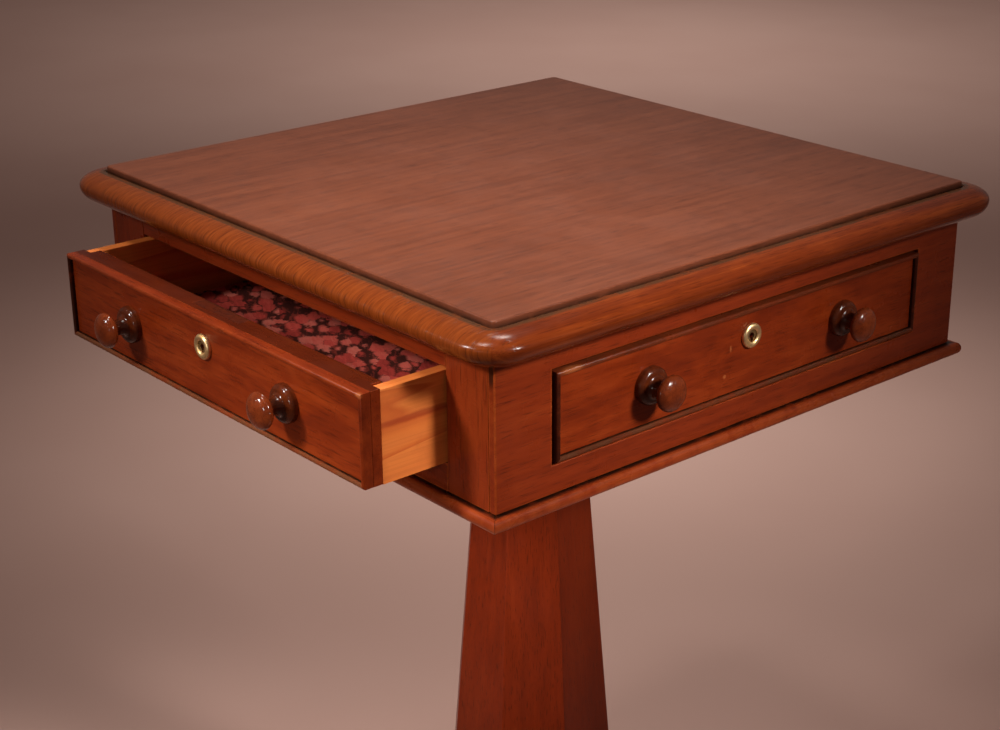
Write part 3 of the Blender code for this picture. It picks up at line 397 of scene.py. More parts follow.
def add_marks(g, here, colour, timber):
    """Rubbed, dull and darkened places, where a finer form marks them, broken up by noise; the darkening
    is dirt in some places and painted shade in others.
    """
    patch = g.noise(here, scale=85.0, detail=4.0, rough=0.6)
    rubbed = g.math("MULTIPLY", g.mark("wear"), g.span(patch, 0.30, 0.55))
    colour = g.mix(rubbed, colour, timber.worn)
    dulled = g.math("MULTIPLY", g.mark("bloom"), g.span(patch, 0.32, 0.60, 0.35, 1.0))
    colour = g.mix(dulled, colour, BLOOM)
    dirt_and_shade_amount = g.math("MULTIPLY", g.mark("dirt_and_shade"), g.span(patch, 0.30, 0.50, 0.55, 1.0))
    return g.mix(dirt_and_shade_amount, colour, DARK_DIRT_AND_SHADE)


def add_spots(g, colour, spots, share, tone):
    """A tone over a colour at each of some spots."""
    for spot, size in spots:
        shown = g.math("MULTIPLY", g.near(g.own_place(), spot, size), share)
        colour = g.mix(shown, colour, tone)
    return colour


def wood(name, timber, slow, marked=False, scuffs=(), stains=(), facing_darkening=(), streaks=STREAK_SCALE):
    """Polished boards, with ribbons, mottle, streaks and pores drawn out along the slow axes."""
    g = Graph(name)
    here = g.place()
    ribbon = g.noise(g.stretch(here, along(slow, *RIBBON_SCALE)), rough=0.5, bend=0.8)
    mottle = g.noise(g.stretch(here, along(slow, *MOTTLE_SCALE)), rough=0.6, bend=0.5)
    streak = g.noise(g.stretch(here, along(slow, *streaks)), detail=4.0, rough=0.65)
    fleck = g.noise(g.stretch(here, along(slow, *PORE_SCALE)), detail=1.0)
    tone = g.blend(zip((ribbon, mottle, streak), timber.figure))
    tone = g.span(tone, 0.5 - timber.spread, 0.5 + timber.spread)
    colour = g.ramp(tone, [(0.0, timber.dark), (0.5, timber.middle), (1.0, timber.light)])
    pores = g.span(fleck, 0.57, 0.70)
    colour = g.mix(g.math("MULTIPLY", pores, PORE_SHARE), colour, timber.pore)
    if marked:
        colour = add_marks(g, here, colour, timber)
    colour = add_spots(g, colour, scuffs, SCUFF_SHARE, SCUFF)
    colour = add_spots(g, colour, stains, STAIN_SHARE, DARK_DIRT_AND_SHADE)
    # Darkens faces by the way they look: painted shade on the column's sideways flats, and a darker top
    # and ends on the drawer front
    for axis, share in facing_darkening:
        colour = g.mix(g.span(g.facing(axis), 0.6, 0.95, 0.0, share), colour, timber.pore)
    touch = g.noise(here, scale=21.0, detail=4.0, rough=0.6)
    height = g.blend([(streak, 0.4), (pores, -0.6)])
    g.shade({
        "Base Color": colour,
        "Roughness": g.span(touch, 0.3, 0.7, timber.rough - 0.06, timber.rough + 0.07),
        "IOR": timber.ior,
        "Normal": g.bump(height, GRAIN_DEPTH, 0.5),
    })
    return g.material


def pine(name, slow, seam=None):
    """Old softwood: growth rings as contours of a drawn-out noise, with fine hairs and stains."""
    g = Graph(name)
    here = g.place()
    field = g.noise(g.stretch(here, along(slow, *RING_SCALE)), detail=2.0, rough=0.45, bend=0.3)
    ring = g.math("FRACT", g.math("MULTIPLY", field, RING_COUNT))
    hair = g.noise(g.stretch(here, along(slow, *HAIR_SCALE)), rough=0.6)
    stain = g.noise(here, scale=24.0, detail=4.0, rough=0.6)
    colour = g.ramp(ring, PINE_RINGS)
    colour = g.mix(g.span(hair, 0.40, 0.70, 0.0, 0.30), colour, PINE_HAIR)
    colour = g.mix(g.span(stain, 0.50, 0.76, 0.0, 0.40), colour, PINE_STAIN)
    if seam:
        waver = g.offset(stain, SEAM_WAVER, g.own_place())
        colour = g.mix(g.math("MULTIPLY", g.near(waver, *seam), SEAM_SHARE), colour, PINE_SEAM)
    g.shade({
        "Base Color": colour,
        "Roughness": g.span(hair, 0.35, 0.65, 0.52, 0.68),
        "Specular IOR Level": 0.3,
        "Normal": g.bump(g.blend([(hair, 0.6), (ring, 0.25)]), PINE_DEPTH, 0.6),
    })
    return g.material


def brass(name, bright, dull, metallic=1.0, ior=1.5):
    """Brass with cloudy tarnish, fine scratches and dirt where a finer form marks it."""
    g = Graph(name)
    here = g.place()
    cloud = g.noise(here, scale=230.0, detail=4.0, rough=0.6)
    scratch = g.noise(g.stretch(here, (1100.0, 140.0, 1100.0)), detail=2.0)
    colour = g.mix(g.span(cloud, 0.42, 0.70), bright, dull)
    colour = g.mix(g.math("MULTIPLY", g.mark("dirt_and_shade"), BRASS_DIRT_SHARE), colour, BRASS_DIRT)
    g.shade({
        "Base Color": colour,
        "Metallic": metallic,
        "IOR": ior,
        "Roughness": g.span(cloud, 0.35, 0.7, 0.36, 0.54),
        "Normal": g.bump(scratch, BRASS_DEPTH, 0.5),
    })
    return g.material


def steel():
    g = Graph("dull_steel_look")
    cloud = g.noise(g.place(), scale=300.0, detail=4.0, rough=0.6)
    g.shade({
        "Base Color": g.mix(g.span(cloud, 0.45, 0.7), *STEEL),
        "Metallic": 1.0,
        "Roughness": g.span(cloud, 0.35, 0.7, 0.38, 0.6),
        "Normal": g.bump(cloud, STEEL_DEPTH, 0.5),
    })
    return g.material


def paper():
    """Old printed lining paper: loose rose-red petals in mixed tones on a dark ground."""
    g = Graph("lining_paper_look")
    here = g.place()
    sway = g.noise(here, scale=110.0, detail=4.0, rough=0.7)
    bent = g.offset(sway, PETAL_SWAY, here)
    turning = {"Vector": bent, "Rotation": (0.0, 0.0, PETAL_TURN)}
    turned = g.node("ShaderNodeMapping", turning).outputs[0]
    laid = {"Vector": g.stretch(turned, (*PETALS_PER_METRE, 0.0)), "Scale": 1.0, "Randomness": 0.9}
    cells = g.node("ShaderNodeTexVoronoi", laid, voronoi_dimensions="2D")
    chance = g.node("ShaderNodeSeparateColor", {0: cells.outputs["Color"]})
    reach = g.span(chance.outputs["Red"], 0.10, 0.70, 0.20, 0.68)
    petal = g.span(g.math("SUBTRACT", reach, cells.outputs["Distance"]), -0.10, 0.20)
    brush = g.noise(g.stretch(turned, BRUSH_SCALE), rough=0.6, bend=0.4)
    light = g.blend([(chance.outputs["Green"], 0.6), (brush, 0.5)])
    leaf = g.noise(g.stretch(turned, LEAF_SCALE), detail=2.0, rough=0.5, bend=1.0)
    ground = g.mix(g.span(leaf, 0.52, 0.66), *PAPER_GROUND)
    g.shade({
        "Base Color": g.mix(petal, ground, g.ramp(light, PETALS)),
        "Roughness": 0.85,
        "Specular IOR Level": 0.25,
        "Normal": g.bump(g.noise(here, scale=420.0), PAPER_DEPTH, 0.5),
    })
    return g.material


def floor_look():
    """A plain floor of a warm grey, a little cloudy."""
    g = Graph("floor_look")
    cloud = g.noise(g.own_place(), scale=1.3)
    g.shade({
        "Base Color": g.mix(g.span(cloud, 0.3, 0.7), *FLOOR),
        "Roughness": 0.85,
        "Specular IOR Level": 0.2,
    })
    return g.material


def make_looks():
    """Every finish by name; plain boards by the axis that their grain runs along."""
    looks = {
        "brass": brass("aged_brass_look", *BRASS),
        "tarnish": brass("tarnished_lock_look", *TARNISH, metallic=0.0, ior=1.15),
        "steel": steel(),
        "paper": paper(),
        "drawer_side": pine("pine_drawer_side_look", "y", DRAWER_SIDE_SEAM),
    }
    for axis in PINE_GRAINS:
        looks["pine_" + axis] = pine("pine_%s_look" % axis, axis)
    for kind, axes in GRAINS.items():
        for axis in axes:
            name = kind + "_" + axis
            looks[name] = wood("mahogany_%s_look" % name, TIMBERS[kind], axis)
    for name, (kind, slow, added) in FINISHES.items():
        looks[name] = wood("mahogany_%s_look" % name, TIMBERS[kind], slow, **added)
    return looks


LOOKS = make_looks()
SEEDS = {}


def give_seed(obj):
    """Each piece gets its own number, in the order that the pieces are made."""
    SEEDS[obj.name] = len(SEEDS) + 1
    obj["seed"] = float(SEEDS[obj.name])


def ease_edges(obj, width, segments, look=None):
    bevel = obj.modifiers.new("ease", "BEVEL")
    bevel.width = width
    bevel.segments = segments
    bevel.limit_method = "ANGLE"
    bevel.angle_limit = SMOOTH_ANGLE
    if look:
        obj.data.materials.append(LOOKS[look])
        bevel.material = len(obj.data.materials) - 1


def dress(node, look, worn, edge):
    """A finish for a node of the model, with its sharp edges eased and rubbed."""
    obj = NODES[node]
    obj.data.materials.clear()
    obj.data.materials.append(LOOKS[look])
    give_seed(obj)
    weld = obj.modifiers.new("weld", "WELD")
    weld.merge_threshold = WELD_DISTANCE
    ease_edges(obj, edge, EASE_SEGMENTS, worn)


def finish_mesh(name, bm):
    bmesh.ops.recalc_face_normals(bm, faces=bm.faces[:])
    mesh = bpy.data.meshes.new(name)
    bm.to_mesh(mesh)
    bm.free()
    mesh.shade_smooth()
    mesh.set_sharp_from_angle(angle=SMOOTH_ANGLE)
    return mesh


def loft(name, loops, ring=False):
    """Skin a row of closed loops with equal counts; a ring joins the last loop to the first."""
    bm = bmesh.new()
    rows = [[bm.verts.new(point) for point in loop] for loop in loops]
    pairs = list(zip(rows, rows[1:]))
    if ring:
        pairs.append((rows[-1], rows[0]))
    else:
        bm.faces.new(rows[0])
        bm.faces.new(rows[-1])
    count = len(rows[0])
    for lower, upper in pairs:
        for i in range(count):
            j = (i + 1) % count
            bm.faces.new((lower[i], lower[j], upper[j], upper[i]))
    return finish_mesh(name, bm)


def lathe(name, profile):
    """Spin a (radius, height) profile, which starts and ends on the axis, about local Z."""
    bm = bmesh.new()
    points = [bm.verts.new((radius, 0.0, height)) for radius, height in profile]
    edges = [bm.edges.new(pair) for pair in zip(points, points[1:])]
    bmesh.ops.spin(
        bm, geom=points + edges, axis=(0.0, 0.0, 1.0), cent=(0.0, 0.0, 0.0),
        angle=2 * math.pi, steps=TURN_STEPS, use_merge=True)
    bmesh.ops.remove_doubles(bm, verts=bm.verts[:], dist=TURN_WELD_DISTANCE)
    return finish_mesh(name, bm)


def set_mark(mesh, name, rule):
    """Store a number at each point of a mesh, worked out from where the point lies."""
    layer = mesh.attributes.new(name, "FLOAT", "POINT")
    for vertex, item in zip(mesh.vertices, layer.data):
        item.value = rule(vertex.co)


def add_piece(name, mesh, look, body, node, location=(0.0, 0.0, 0.0), rotation=(0.0, 0.0, 0.0)):
    """A new piece that stands for a node of the model and moves with a body."""
    obj = bpy.data.objects.new(name, mesh)
    bpy.context.scene.collection.objects.link(obj)
    obj.location = location
    obj.rotation_euler = rotation
    if not mesh.materials:
        mesh.materials.append(LOOKS[look])
    give_seed(obj)
    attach(obj, body)
    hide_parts(node)
    return obj


def quarter(steps):
    """Angles from nothing to a right angle."""
    return [step / steps * math.pi / 2 for step in range(steps + 1)]


def rounded_square(half, radius, height):
    points = []
    for corner in range(4):
        start = corner * math.pi / 2
        middle = start + math.pi / 4
        centre_x = math.copysign(half - radius, math.cos(middle))
        centre_y = math.copysign(half - radius, math.sin(middle))
        for angle in quarter(CORNER_STEPS):
            x = centre_x + radius * math.cos(start + angle)
            y = centre_y + radius * math.sin(start + angle)
            points.append((x, y, height))
    return points


def top_rows(half, thickness, frieze):
    """(half width, depth, share of the way out) from the raised field to the underside.

    The rows go over the field's eased edge and quirk, round the nose and back under to the frieze.
    """
    field = half - NOSE_WIDTH
    nose = field + FILLET_WIDTH
    upper = []
    for angle in quarter(ROUND_STEPS):
        upper.append((field - FIELD_ROUND * (1 - math.sin(angle)), FIELD_ROUND * (1 - math.cos(angle))))
    upper.append((field, FIELD_STEP + QUIRK_DEPTH))
    upper.append((field + QUIRK_WIDTH, FIELD_STEP + QUIRK_DEPTH))
    upper.append((field + QUIRK_WIDTH, FIELD_STEP))
    upper.append((nose, FIELD_STEP))
    for angle in quarter(NOSE_STEPS):
        depth = NOSE_DEPTH - (NOSE_DEPTH - FIELD_STEP + NOSE_LIFT) * math.cos(angle)
        upper.append((nose + (half - nose) * math.sin(angle), depth))
    rows = [(reach, depth, max(0.0, (reach - field) / NOSE_WIDTH)) for reach, depth in upper]
    for angle in quarter(NOSE_STEPS)[1:]:
        depth = NOSE_DEPTH + (thickness - NOSE_DEPTH) * math.sin(angle)
        rows.append((frieze + (half - frieze) * math.cos(angle), depth, math.cos(angle)))
    return rows


def finish_top(mesh, field, fillet):
    """Finishes for the field and the nose, with dirt in the quirk and a dull band on the fillet."""
    for look in ("top", "nose_long", "nose_end"):
        mesh.materials.append(LOOKS[look])
    for face in mesh.polygons:
        if face.center.z < fillet + 2 * NOSE_LIFT:
            face.material_index = 1 if abs(face.center.x) > abs(face.center.y) else 2
    quirk_floor = fillet - QUIRK_DEPTH / 2
    quirk_edge = field + QUIRK_WIDTH * GAP_SPREAD

    def in_band(co):
        rise = co.z - fillet
        return abs(rise) < FLAT_RISE or NOSE_LIFT / 2 < rise < 2 * NOSE_LIFT

    def dirt_and_shade_amount(co):
        in_quirk = co.z < quirk_floor and max(abs(co.x), abs(co.y)) < quirk_edge
        return max(float(in_quirk), FILLET_DIRT * float(in_band(co)))

    set_mark(mesh, "dirt_and_shade", dirt_and_shade_amount)
    set_mark(mesh, "bloom", lambda co: FILLET_BLOOM * float(in_band(co)))


def make_top():
    low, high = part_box("table_top")
    centre = (low + high) / 2
    half = (high.x - low.x) / 2
    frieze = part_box("right_panel")[1].x
    loops = []
    for reach, depth, share in top_rows(half, high.z - low.z, frieze):
        radius = FIELD_CORNER_RADIUS + (TOP_CORNER_RADIUS - FIELD_CORNER_RADIUS) * share
        loops.append(rounded_square(reach, radius, high.z - depth))
    mesh = loft("moulded_top", loops)
    finish_top(mesh, half - NOSE_WIDTH, high.z - FIELD_STEP)
    spot = (centre.x, centre.y, 0.0)
    add_piece("moulded_top", mesh, None, "table", "table_top", spot)


# Each face of the frieze: its turn about Z from the front, its body, and the words in its nodes' names
Face = namedtuple("Face", "turn body prefix knobs")
FACES = [
    Face(0.0, "drawer", "drawer", ("left", "right")),
    Face(math.pi / 2, "table", "right_false", ("front", "back")),
    Face(math.pi, "table", "back_false", ("right", "left")),
    Face(-math.pi / 2, "table", "left_false", ("back", "front")),
]


# How far each strip of a bead is rubbed, dull and darkened, by its body and its place seen from the
# front; the darkening is painted shade of the gap beside the bead with some dirt, strongest on the
# upright strips
STRIP_MARKS = {
    ("drawer", "top"): {"wear": 0.1, "bloom": 0.0, "dirt_and_shade": 0.0},
    ("drawer", "bottom"): {"wear": 0.2, "bloom": 0.7, "dirt_and_shade": 0.0},
    ("drawer", "left"): {"wear": 0.0, "bloom": 0.0, "dirt_and_shade": 0.85},
    ("drawer", "right"): {"wear": 0.0, "bloom": 0.0, "dirt_and_shade": 0.2},
    ("table", "top"): {"wear": 0.0, "bloom": 0.3, "dirt_and_shade": 0.35},
    ("table", "bottom"): {"wear": 0.0, "bloom": 0.6, "dirt_and_shade": 0.2},
    ("table", "left"): {"wear": 0.0, "bloom": 0.0, "dirt_and_shade": 0.8},
    ("table", "right"): {"wear": 0.0, "bloom": 0.0, "dirt_and_shade": 0.8},
}
FACE_BEADS = {"drawer": "chipped_bead", "right_false": "rubbed_bead"}


def outer_side(face, node):
    """The middle of a node's side that looks out, which way that is, and its half width and height."""
    low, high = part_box(node)
    out = Vector((math.sin(face.turn), -math.cos(face.turn), 0.0))
    size = high - low
    across = abs(out.y) * size.x + abs(out.x) * size.y
    depth = abs(out.x) * size.x + abs(out.y) * size.y
    return (low + high) / 2 + out * depth / 2, out, across / 2, size.z / 2


def knob_profile():
    """Turned knob: rose with a rounded edge, hollow neck and flattened round head."""
    rose = KNOB_ROSE_DIAMETER / 2
    rose_top = KNOB_ROSE_TOP_DIAMETER / 2
    neck = KNOB_NECK_DIAMETER / 2
    head = KNOB_HEAD_DIAMETER / 2
    half_length = KNOB_HEAD_LENGTH / 2
    head_middle = KNOB_LENGTH - half_length
    start = math.asin(neck / head)
    neck_top = head_middle - half_length * math.cos(start)
    points = [(0.0, 0.0), (rose, 0.0)]
    for angle in quarter(BEAD_STEPS):
        radius = rose_top + (rose - rose_top) * math.cos(angle)
        points.append((radius, KNOB_ROSE_EDGE + (KNOB_ROSE_HEIGHT - KNOB_ROSE_EDGE) * math.sin(angle)))
    for angle in quarter(BEAD_STEPS)[1:-1]:
        radius = neck + (rose_top - neck) * (1 - math.sin(angle))
        points.append((radius, KNOB_ROSE_HEIGHT + (neck_top - KNOB_ROSE_HEIGHT) * (1 - math.cos(angle))))
    for step in range(2 * BEAD_STEPS):
        angle = start + (math.pi - start) * step / (2 * BEAD_STEPS)
        points.append((head * math.sin(angle), head_middle - half_length * math.cos(angle)))
    points.append((0.0, KNOB_LENGTH))
    return points


def escutcheon_loops():
    """Round boss with a rolled rim and a shallow dish, pierced by a keyhole with its slot down."""
    eye = KEYHOLE_DIAMETER / 2
    slot = KEYHOLE_SLOT_WIDTH / 2
    dish = ESCUTCHEON_DISH_DIAMETER / 2
    outer = ESCUTCHEON_DIAMETER / 2
    middle = (dish + outer) / 2
    angles = [step / TURN_STEPS * 2 * math.pi for step in range(TURN_STEPS)]

    def ring(radius, height):
        return [(radius * math.cos(angle), radius * math.sin(angle), height) for angle in angles]

    def keyhole(height):
        points = []
        for angle in angles:
            radius = eye
            if math.sin(angle) < 0.0:
                side = slot / max(abs(math.cos(angle)), LEAST_COSINE)
                radius = max(eye, min(side, KEYHOLE_SLOT_DROP / -math.sin(angle)))
            points.append((radius * math.cos(angle), radius * math.sin(angle), height))
        return points

    loops = [keyhole(0.0), keyhole(ESCUTCHEON_DISH_PROUD), ring(dish, ESCUTCHEON_DISH_PROUD)]
    for step in range(1, 2 * BEAD_STEPS):
        angle = math.pi - step / (2 * BEAD_STEPS) * math.pi
        rise = (ESCUTCHEON_PROUD - ESCUTCHEON_RIM) * math.sin(angle)
        loops.append(ring(middle + (outer - dish) / 2 * math.cos(angle), ESCUTCHEON_RIM + rise))
    return loops + [ring(outer, ESCUTCHEON_RIM), ring(outer, 0.0)]


def bead_mesh(name, half_width, half_height, body):
    """Strips mitred into one frame; the front's face lies at y = 0."""
    half = BEAD_WIDTH / 2
    profile = [(0.0, BEAD_SET)]
    for step in range(2 * BEAD_STEPS + 1):
        angle = math.pi - step / (2 * BEAD_STEPS) * math.pi
        profile.append((half + half * math.cos(angle), half - BEAD_PROUD - half * math.sin(angle)))
    profile.append((BEAD_WIDTH, BEAD_SET))
    ends = []
    for side_x, side_z, level_first in ((-1, -1, False), (1, -1, True), (1, 1, False), (-1, 1, True)):
        for level in (level_first, not level_first):
            short_x = MITRE_GAP if level else 0.0
            short_z = 0.0 if level else MITRE_GAP
            ends.append([
                (side_x * (half_width - inset - short_x), y, side_z * (half_height - inset - short_z))
                for inset, y in profile])
    mesh = loft(name, ends, ring=True)
    shoulder = half - BEAD_PROUD

    def strip(co):
        if half_height - abs(co.z) < half_width - abs(co.x):
            return "top" if co.z > 0.0 else "bottom"
        return "right" if co.x > 0.0 else "left"

    def rubbed(co):
        return STRIP_MARKS[body, strip(co)]["wear"] * float(co.y < shoulder)

    # Dark on the bead's sides in the gap and along whole strips: dirt in the gap, and painted shade of
    # it
    def dirt_and_shade_amount(co):
        inner = max(abs(co.x) - half_width, abs(co.z) - half_height) < -half
        in_gap = co.y > shoulder and inner
        return max(GAP_DIRT_AND_SHADE * float(in_gap), STRIP_MARKS[body, strip(co)]["dirt_and_shade"])

    set_mark(mesh, "wear", rubbed)
    set_mark(mesh, "dirt_and_shade", dirt_and_shade_amount)
    set_mark(mesh, "bloom", lambda co: STRIP_MARKS[body, strip(co)]["bloom"])
    return mesh


def make_faces():
    """The bead, knobs and keyhole boss on each face of the frieze."""
    knob = lathe("turned_knob", knob_profile())
    neck_top = KNOB_LENGTH - KNOB_HEAD_LENGTH
    # Painted shade on the knob's rose and neck, where the head shades them
    set_mark(knob, "dirt_and_shade", lambda co: KNOB_PAINTED_SHADE * float(KNOB_ROSE_EDGE < co.z < neck_top))
    boss = loft("keyhole_boss", escutcheon_loops(), ring=True)
    dish = ESCUTCHEON_DISH_DIAMETER / 2
    set_mark(boss, "dirt_and_shade", lambda co: float(co.xy.length < dish * DISH_SPREAD))
    for face in FACES:
        flat = (0.0, 0.0, face.turn)
        upright = (math.pi / 2, 0.0, face.turn)
        node = face.prefix + "_bead"
        tip, out, half_width, half_height = outer_side(face, node)
        mesh = bead_mesh("cock_" + node, half_width, half_height, face.body)
        look = FACE_BEADS.get(face.prefix, "bead")
        spot = tip - out * BEAD_PROUD
        add_piece(mesh.name, mesh, look, face.body, node, spot, flat)
        for word in face.knobs:
            node = face.prefix + "_knob_" + word
            spot = outer_side(face, node)[0] - out * KNOB_LENGTH
            add_piece("turned_" + node, knob, "knob", face.body, node, spot, upright)
        node = face.prefix + "_escutcheon"
        spot = outer_side(face, node)[0] - out * ESCUTCHEON_PROUD
        add_piece("keyhole_" + node, boss, "brass", face.body, node, spot, upright)


def base_moulding_profile(low, high):
    """(distance out from the frieze, height) round a strip that lies in a node's box."""
    half = (high.z - low.z) / 2
    nose = BASE_MOULD_PROUD - BASE_MOULD_FILLET
    inner = BASE_MOULD_PROUD - min((high - low).x, (high - low).y)
    profile = [(inner, high.z), (0.0, high.z), (BASE_DIRT_WIDTH, high.z)]
    for step in range(2 * BEAD_STEPS + 1):
        angle = math.pi / 2 - step / (2 * BEAD_STEPS) * math.pi
        out = nose + BASE_MOULD_FILLET * math.cos(angle)
        profile.append((out, high.z - half + half * math.sin(angle)))
    return profile + [(inner, low.z)]


def make_base_mouldings():
    """Half-round strips under the frieze, mitred at the corners, with dirt along the joint."""
    low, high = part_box("right_panel")
    spot = (0.0, ((low + high) / 2).y, 0.0)
    frieze = high.x
    dirt_edge = frieze + BASE_DIRT_WIDTH * GAP_SPREAD
    worn_edge = frieze + BASE_MOULD_PROUD - BASE_MOULD_FILLET
    for index, word in enumerate(("front", "right", "back", "left")):
        node = "base_moulding_" + word
        low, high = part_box(node)
        profile = base_moulding_profile(low, high)
        joint = high.z - FLAT_RISE
        ends = []
        for side in (-1, 1):
            ends.append([
                (side * (frieze + out - MITRE_GAP), -frieze - out, height) for out, height in profile])
        mesh = loft("moulded_" + node, ends)
        set_mark(mesh, "dirt_and_shade", lambda co: float(co.z > joint and -co.y < dirt_edge))
        set_mark(mesh, "wear", lambda co: BASE_WEAR * float(-co.y > worn_edge))
        turn = (0.0, 0.0, index * math.pi / 2)
        add_piece(mesh.name, mesh, "moulding", "table", node, spot, turn)


def octagon(half, height):
    """Mid-flats and corners, in turn, of the column's octagon."""
    points = []
    for step in range(2 * COLUMN_SIDES):
        angle = COLUMN_TURN + step * math.pi / COLUMN_SIDES
        radius = half if step % 2 == 0 else half / math.cos(math.pi / COLUMN_SIDES)
        points.append((radius * math.cos(angle), radius * math.sin(angle), height))
    return points


def make_collar(centre):
    """The hollow moulding round the column's foot."""
    low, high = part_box("column_collar")
    column_low, column_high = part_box("column")
    reach = (high.x - low.x) / 2
    corner = max(point[0] for point in octagon(1.0, 0.0))
    plinth = reach / corner
    inside_foot = plinth - COLLAR_PROUD
    column_foot = (column_high.x - column_low.x) / 2 / corner
    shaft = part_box("right_panel")[0].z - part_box("platform")[1].z
    taper = (column_foot - COLUMN_TOP_WIDTH / 2) / shaft
    inside_top = inside_foot - taper * (high.z - low.z)
    loops = [octagon(inside_top, high.z), octagon(inside_foot, low.z), octagon(plinth, low.z)]
    shoulder = low.z + COLLAR_PLINTH
    lip = inside_top + COLLAR_LIP
    for angle in quarter(COLLAR_STEPS):
        half = plinth - (plinth - lip) * math.sin(angle)
        loops.append(octagon(half, high.z - (high.z - shoulder) * math.cos(angle)))
    mesh = loft("moulded_collar", loops, ring=True)
    piece = add_piece(mesh.name, mesh, "column_x", "table", "column_collar", centre)
    ease_edges(piece, COLLAR_EASE, EASE_SEGMENTS)


def make_platform(centre):
    """Four hollow sides between corners cut straight across, with the edges rounded over."""
    low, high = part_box("platform")
    half = (high.x - low.x) / 2
    chord = half - PLATFORM_CORNER_CUT
    radius = (chord ** 2 + PLATFORM_HOLLOW ** 2) / (2 * PLATFORM_HOLLOW)
    sweep = math.asin(chord / radius)
    outline = []
    for side in range(4):
        turn = side * math.pi / 2
        for step in range(HOLLOW_STEPS + 1):
            angle = sweep * (2 * step / HOLLOW_STEPS - 1)
            x = radius * math.sin(angle)
            y = radius * (math.cos(angle) - 1) + PLATFORM_HOLLOW - half
            turned_x = x * math.cos(turn) - y * math.sin(turn)
            turned_y = x * math.sin(turn) + y * math.cos(turn)
            outline.append((turned_x, turned_y))
    mesh = loft("shaped_platform", [[(x, y, z) for x, y in outline] for z in (low.z, high.z)])
    piece = add_piece(mesh.name, mesh, "column_x", "table", "platform", centre)
    ease_edges(piece, PLATFORM_EDGE_ROUND, PLATFORM_EDGE_SEGMENTS)


def foot_profile(belly):
    """Bun foot from its floor pad to the ring under the platform."""
    pad = FOOT_PAD_DIAMETER / 2
    neck = FOOT_NECK_DIAMETER / 2
    ring = FOOT_RING_DIAMETER / 2
    ring_foot = FOOT_HEIGHT - FOOT_RING_HEIGHT
    points = [(0.0, 0.0), (pad, 0.0)]
    for step in range(1, 2 * BEAD_STEPS):
        angle = step / (2 * BEAD_STEPS) * math.pi
        edge = pad if angle < math.pi / 2 else neck
        points.append((edge + (belly - edge) * math.sin(angle), ring_foot / 2 * (1 - math.cos(angle))))
    points += [(neck, ring_foot), (ring - FOOT_RING_ROUND, ring_foot)]
    for angle in quarter(ROUND_STEPS)[1:]:
        points.append((
            ring - FOOT_RING_ROUND * (1 - math.sin(angle)),
            ring_foot + FOOT_RING_ROUND * (1 - math.cos(angle))))
    return points + [(ring, FOOT_HEIGHT), (0.0, FOOT_HEIGHT)]


def make_base():
    low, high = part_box("column")
    centre = ((low.x + high.x) / 2, (low.y + high.y) / 2, 0.0)
    make_collar(centre)
    make_platform(centre)
    for word_y in ("front", "back"):
        for word_x in ("left", "right"):
            node = "foot_%s_%s" % (word_y, word_x)
            low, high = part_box(node)
            mesh = lathe("bun_" + node, foot_profile((high.x - low.x) / 2))
            spot = ((low.x + high.x) / 2, (low.y + high.y) / 2, 0.0)
            add_piece(mesh.name, mesh, "column_z", "table", node, spot)


# For the nodes that are shown as they are: finish, rubbed finish of the edges, and width of their easing
DRESS = [
    ("frieze_x", "worn_x", 0.0008, ["front_top_rail", "front_bottom_rail", "back_panel"]),
    ("frieze_z", "worn_z", 0.0008, ["front_stile_left", "front_stile_right"]),
    ("frieze_y", "worn_y", 0.0010, ["left_panel"]),
    ("corner_panel", "worn_y", 0.0010, ["right_panel"]),
    ("drawer_front", "worn_x", 0.0006, ["drawer_front"]),
    ("front_x", "worn_x", 0.0006, ["back_false_front"]),
    ("front_y", "worn_y", 0.0006, ["left_false_front"]),
    ("scuffed_front", "worn_y", 0.0006, ["right_false_front"]),
    ("shaft", None, 0.0012, ["column"]),
    ("drawer_side", None, 0.0007, ["drawer_side_right"]),
    ("pine_y", None, 0.0007, ["drawer_side_left", "kicker_left", "kicker_right"]),
    ("pine_y", None, 0.0007, ["drawer_runner_left", "drawer_runner_right", "column_bearer"]),
    ("pine_x", None, 0.0006, ["drawer_back", "drawer_bottom", "drawer_stop_left", "drawer_stop_right"]),
    ("pine_x", None, 0.0006, ["carcass_bottom"]),
    ("paper", None, 0.0001, ["drawer_lining"]),
    ("tarnish", None, 0.0002, ["lock_case", "lock_bolt"]),
    ("steel", None, 0.0002, ["lock_screw_left", "lock_screw_right"]),
    ("steel", None, 0.0002, ["top_screw_front_left", "top_screw_front_right"]),
    ("steel", None, 0.0002, ["top_screw_back_left", "top_screw_back_right"]),
]


def dress_nodes():
    for look, worn, edge, nodes in DRESS:
        for node in nodes:
            dress(node, look, worn, edge)


def make_floor():
    mesh = bpy.data.meshes.new("floor")
    corners = [(-1, -1), (1, -1), (1, 1), (-1, 1)]
    mesh.from_pydata([(x * FLOOR_HALF, y * FLOOR_HALF, 0.0) for x, y in corners], [], [(0, 1, 2, 3)])
    mesh.materials.append(floor_look())
    floor = bpy.data.objects.new("floor", mesh)
    bpy.context.scene.collection.objects.link(floor)


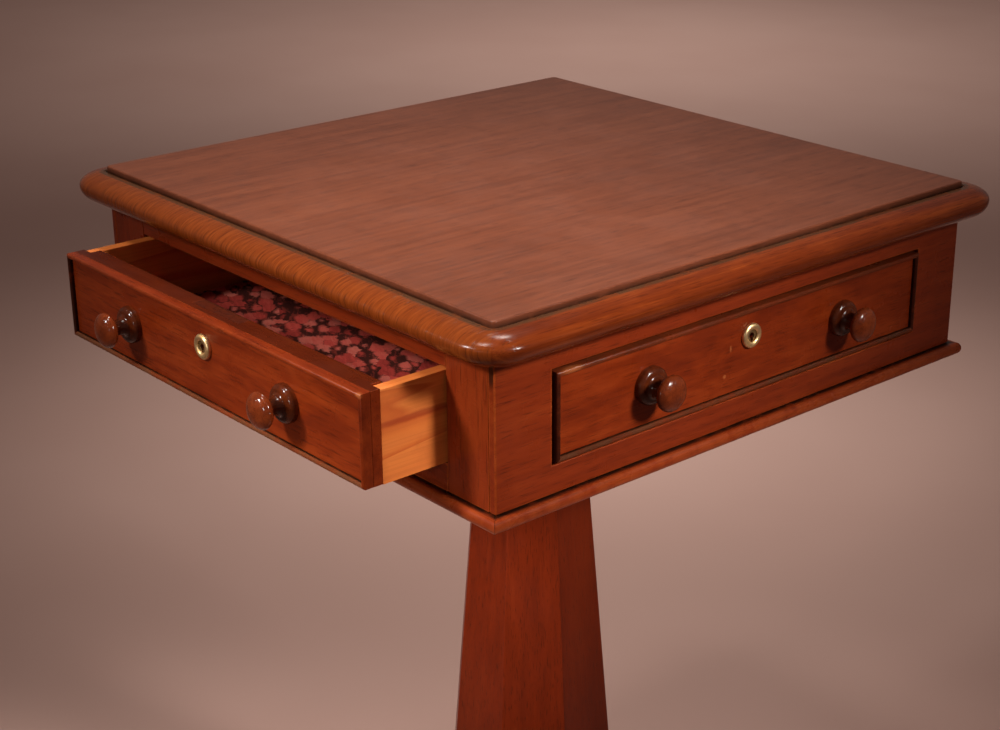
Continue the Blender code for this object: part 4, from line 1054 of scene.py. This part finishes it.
def make_camera():
    data = bpy.data.cameras.new("camera")
    data.lens = CAMERA_LENS
    data.sensor_fit = "HORIZONTAL"
    data.sensor_width = CAMERA_SENSOR
    data.shift_x, data.shift_y = CAMERA_SHIFT
    camera = bpy.data.objects.new("camera", data)
    camera.location = CAMERA_PLACE
    forward = Vector((
        math.sin(CAMERA_YAW) * math.cos(CAMERA_PITCH),
        math.cos(CAMERA_YAW) * math.cos(CAMERA_PITCH),
        math.sin(CAMERA_PITCH)))
    camera.rotation_mode = "QUATERNION"
    roll = Quaternion((0.0, 0.0, 1.0), CAMERA_ROLL)
    camera.rotation_quaternion = forward.to_track_quat("-Z", "Y") @ roll
    bpy.context.scene.collection.objects.link(camera)
    bpy.context.scene.camera = camera


# Each lamp's place, the point it is aimed at, its diameter, its power and its spread in degrees
Lamp = namedtuple("Lamp", "name place aim size power spread")
LAMPS = [
    Lamp("left_lamp", (-0.50, -1.945, 1.87), (0.26, -0.22, 0.60), 0.38, 1.25, 28.0),
    Lamp("right_lamp", (1.78, 0.24, 1.64), (0.23, -0.08, 0.67), 0.4, 0.65, 17.5),
    Lamp("top_lamp", (-0.05, -0.65, 2.60), (0.05, -0.10, 0.72), 0.55, 0.72, 26.0),
    Lamp("back_lamp", (-0.85, 1.00, 2.95), (-0.18, 0.05, 0.62), 0.5, 1.2, 29.0),
    Lamp("column_lamp", (0.60, -2.10, 0.90), (0.02, 0.0, 0.45), 0.3, 0.12, 11.5),
    Lamp("floor_lamp", (-0.95, 0.95, 2.00), (-0.90, 0.85, 0.0), 0.8, 3.3, 58.0),
    Lamp("far_lamp", (-2.4, 2.4, 2.2), (-2.9, 2.9, 0.0), 1.2, 9.5, 104.0),
]
LAMP_COLOUR = (1.0, 0.95, 0.89)
WORLD_COLOUR = srgb(226, 206, 198)
WORLD_STRENGTH = 0.18


def add_lamp(lamp):
    data = bpy.data.lights.new(lamp.name, "AREA")
    data.shape = "DISK"
    data.size = lamp.size
    data.energy = lamp.power
    data.spread = math.radians(lamp.spread)
    data.color = LAMP_COLOUR
    obj = bpy.data.objects.new(lamp.name, data)
    obj.location = lamp.place
    obj.rotation_mode = "QUATERNION"
    obj.rotation_quaternion = (Vector(lamp.aim) - Vector(lamp.place)).to_track_quat("-Z", "Y")
    bpy.context.scene.collection.objects.link(obj)


def make_light():
    for lamp in LAMPS:
        add_lamp(lamp)
    world = bpy.data.worlds.new("studio")
    world.use_nodes = True
    back = world.node_tree.nodes["Background"]
    back.inputs["Color"].default_value = WORLD_COLOUR
    back.inputs["Strength"].default_value = WORLD_STRENGTH
    bpy.context.scene.world = world
    bpy.context.scene.view_settings.view_transform = "Standard"


make_top()
make_faces()
make_base_mouldings()
make_base()
dress_nodes()
make_floor()
make_camera()
make_light()
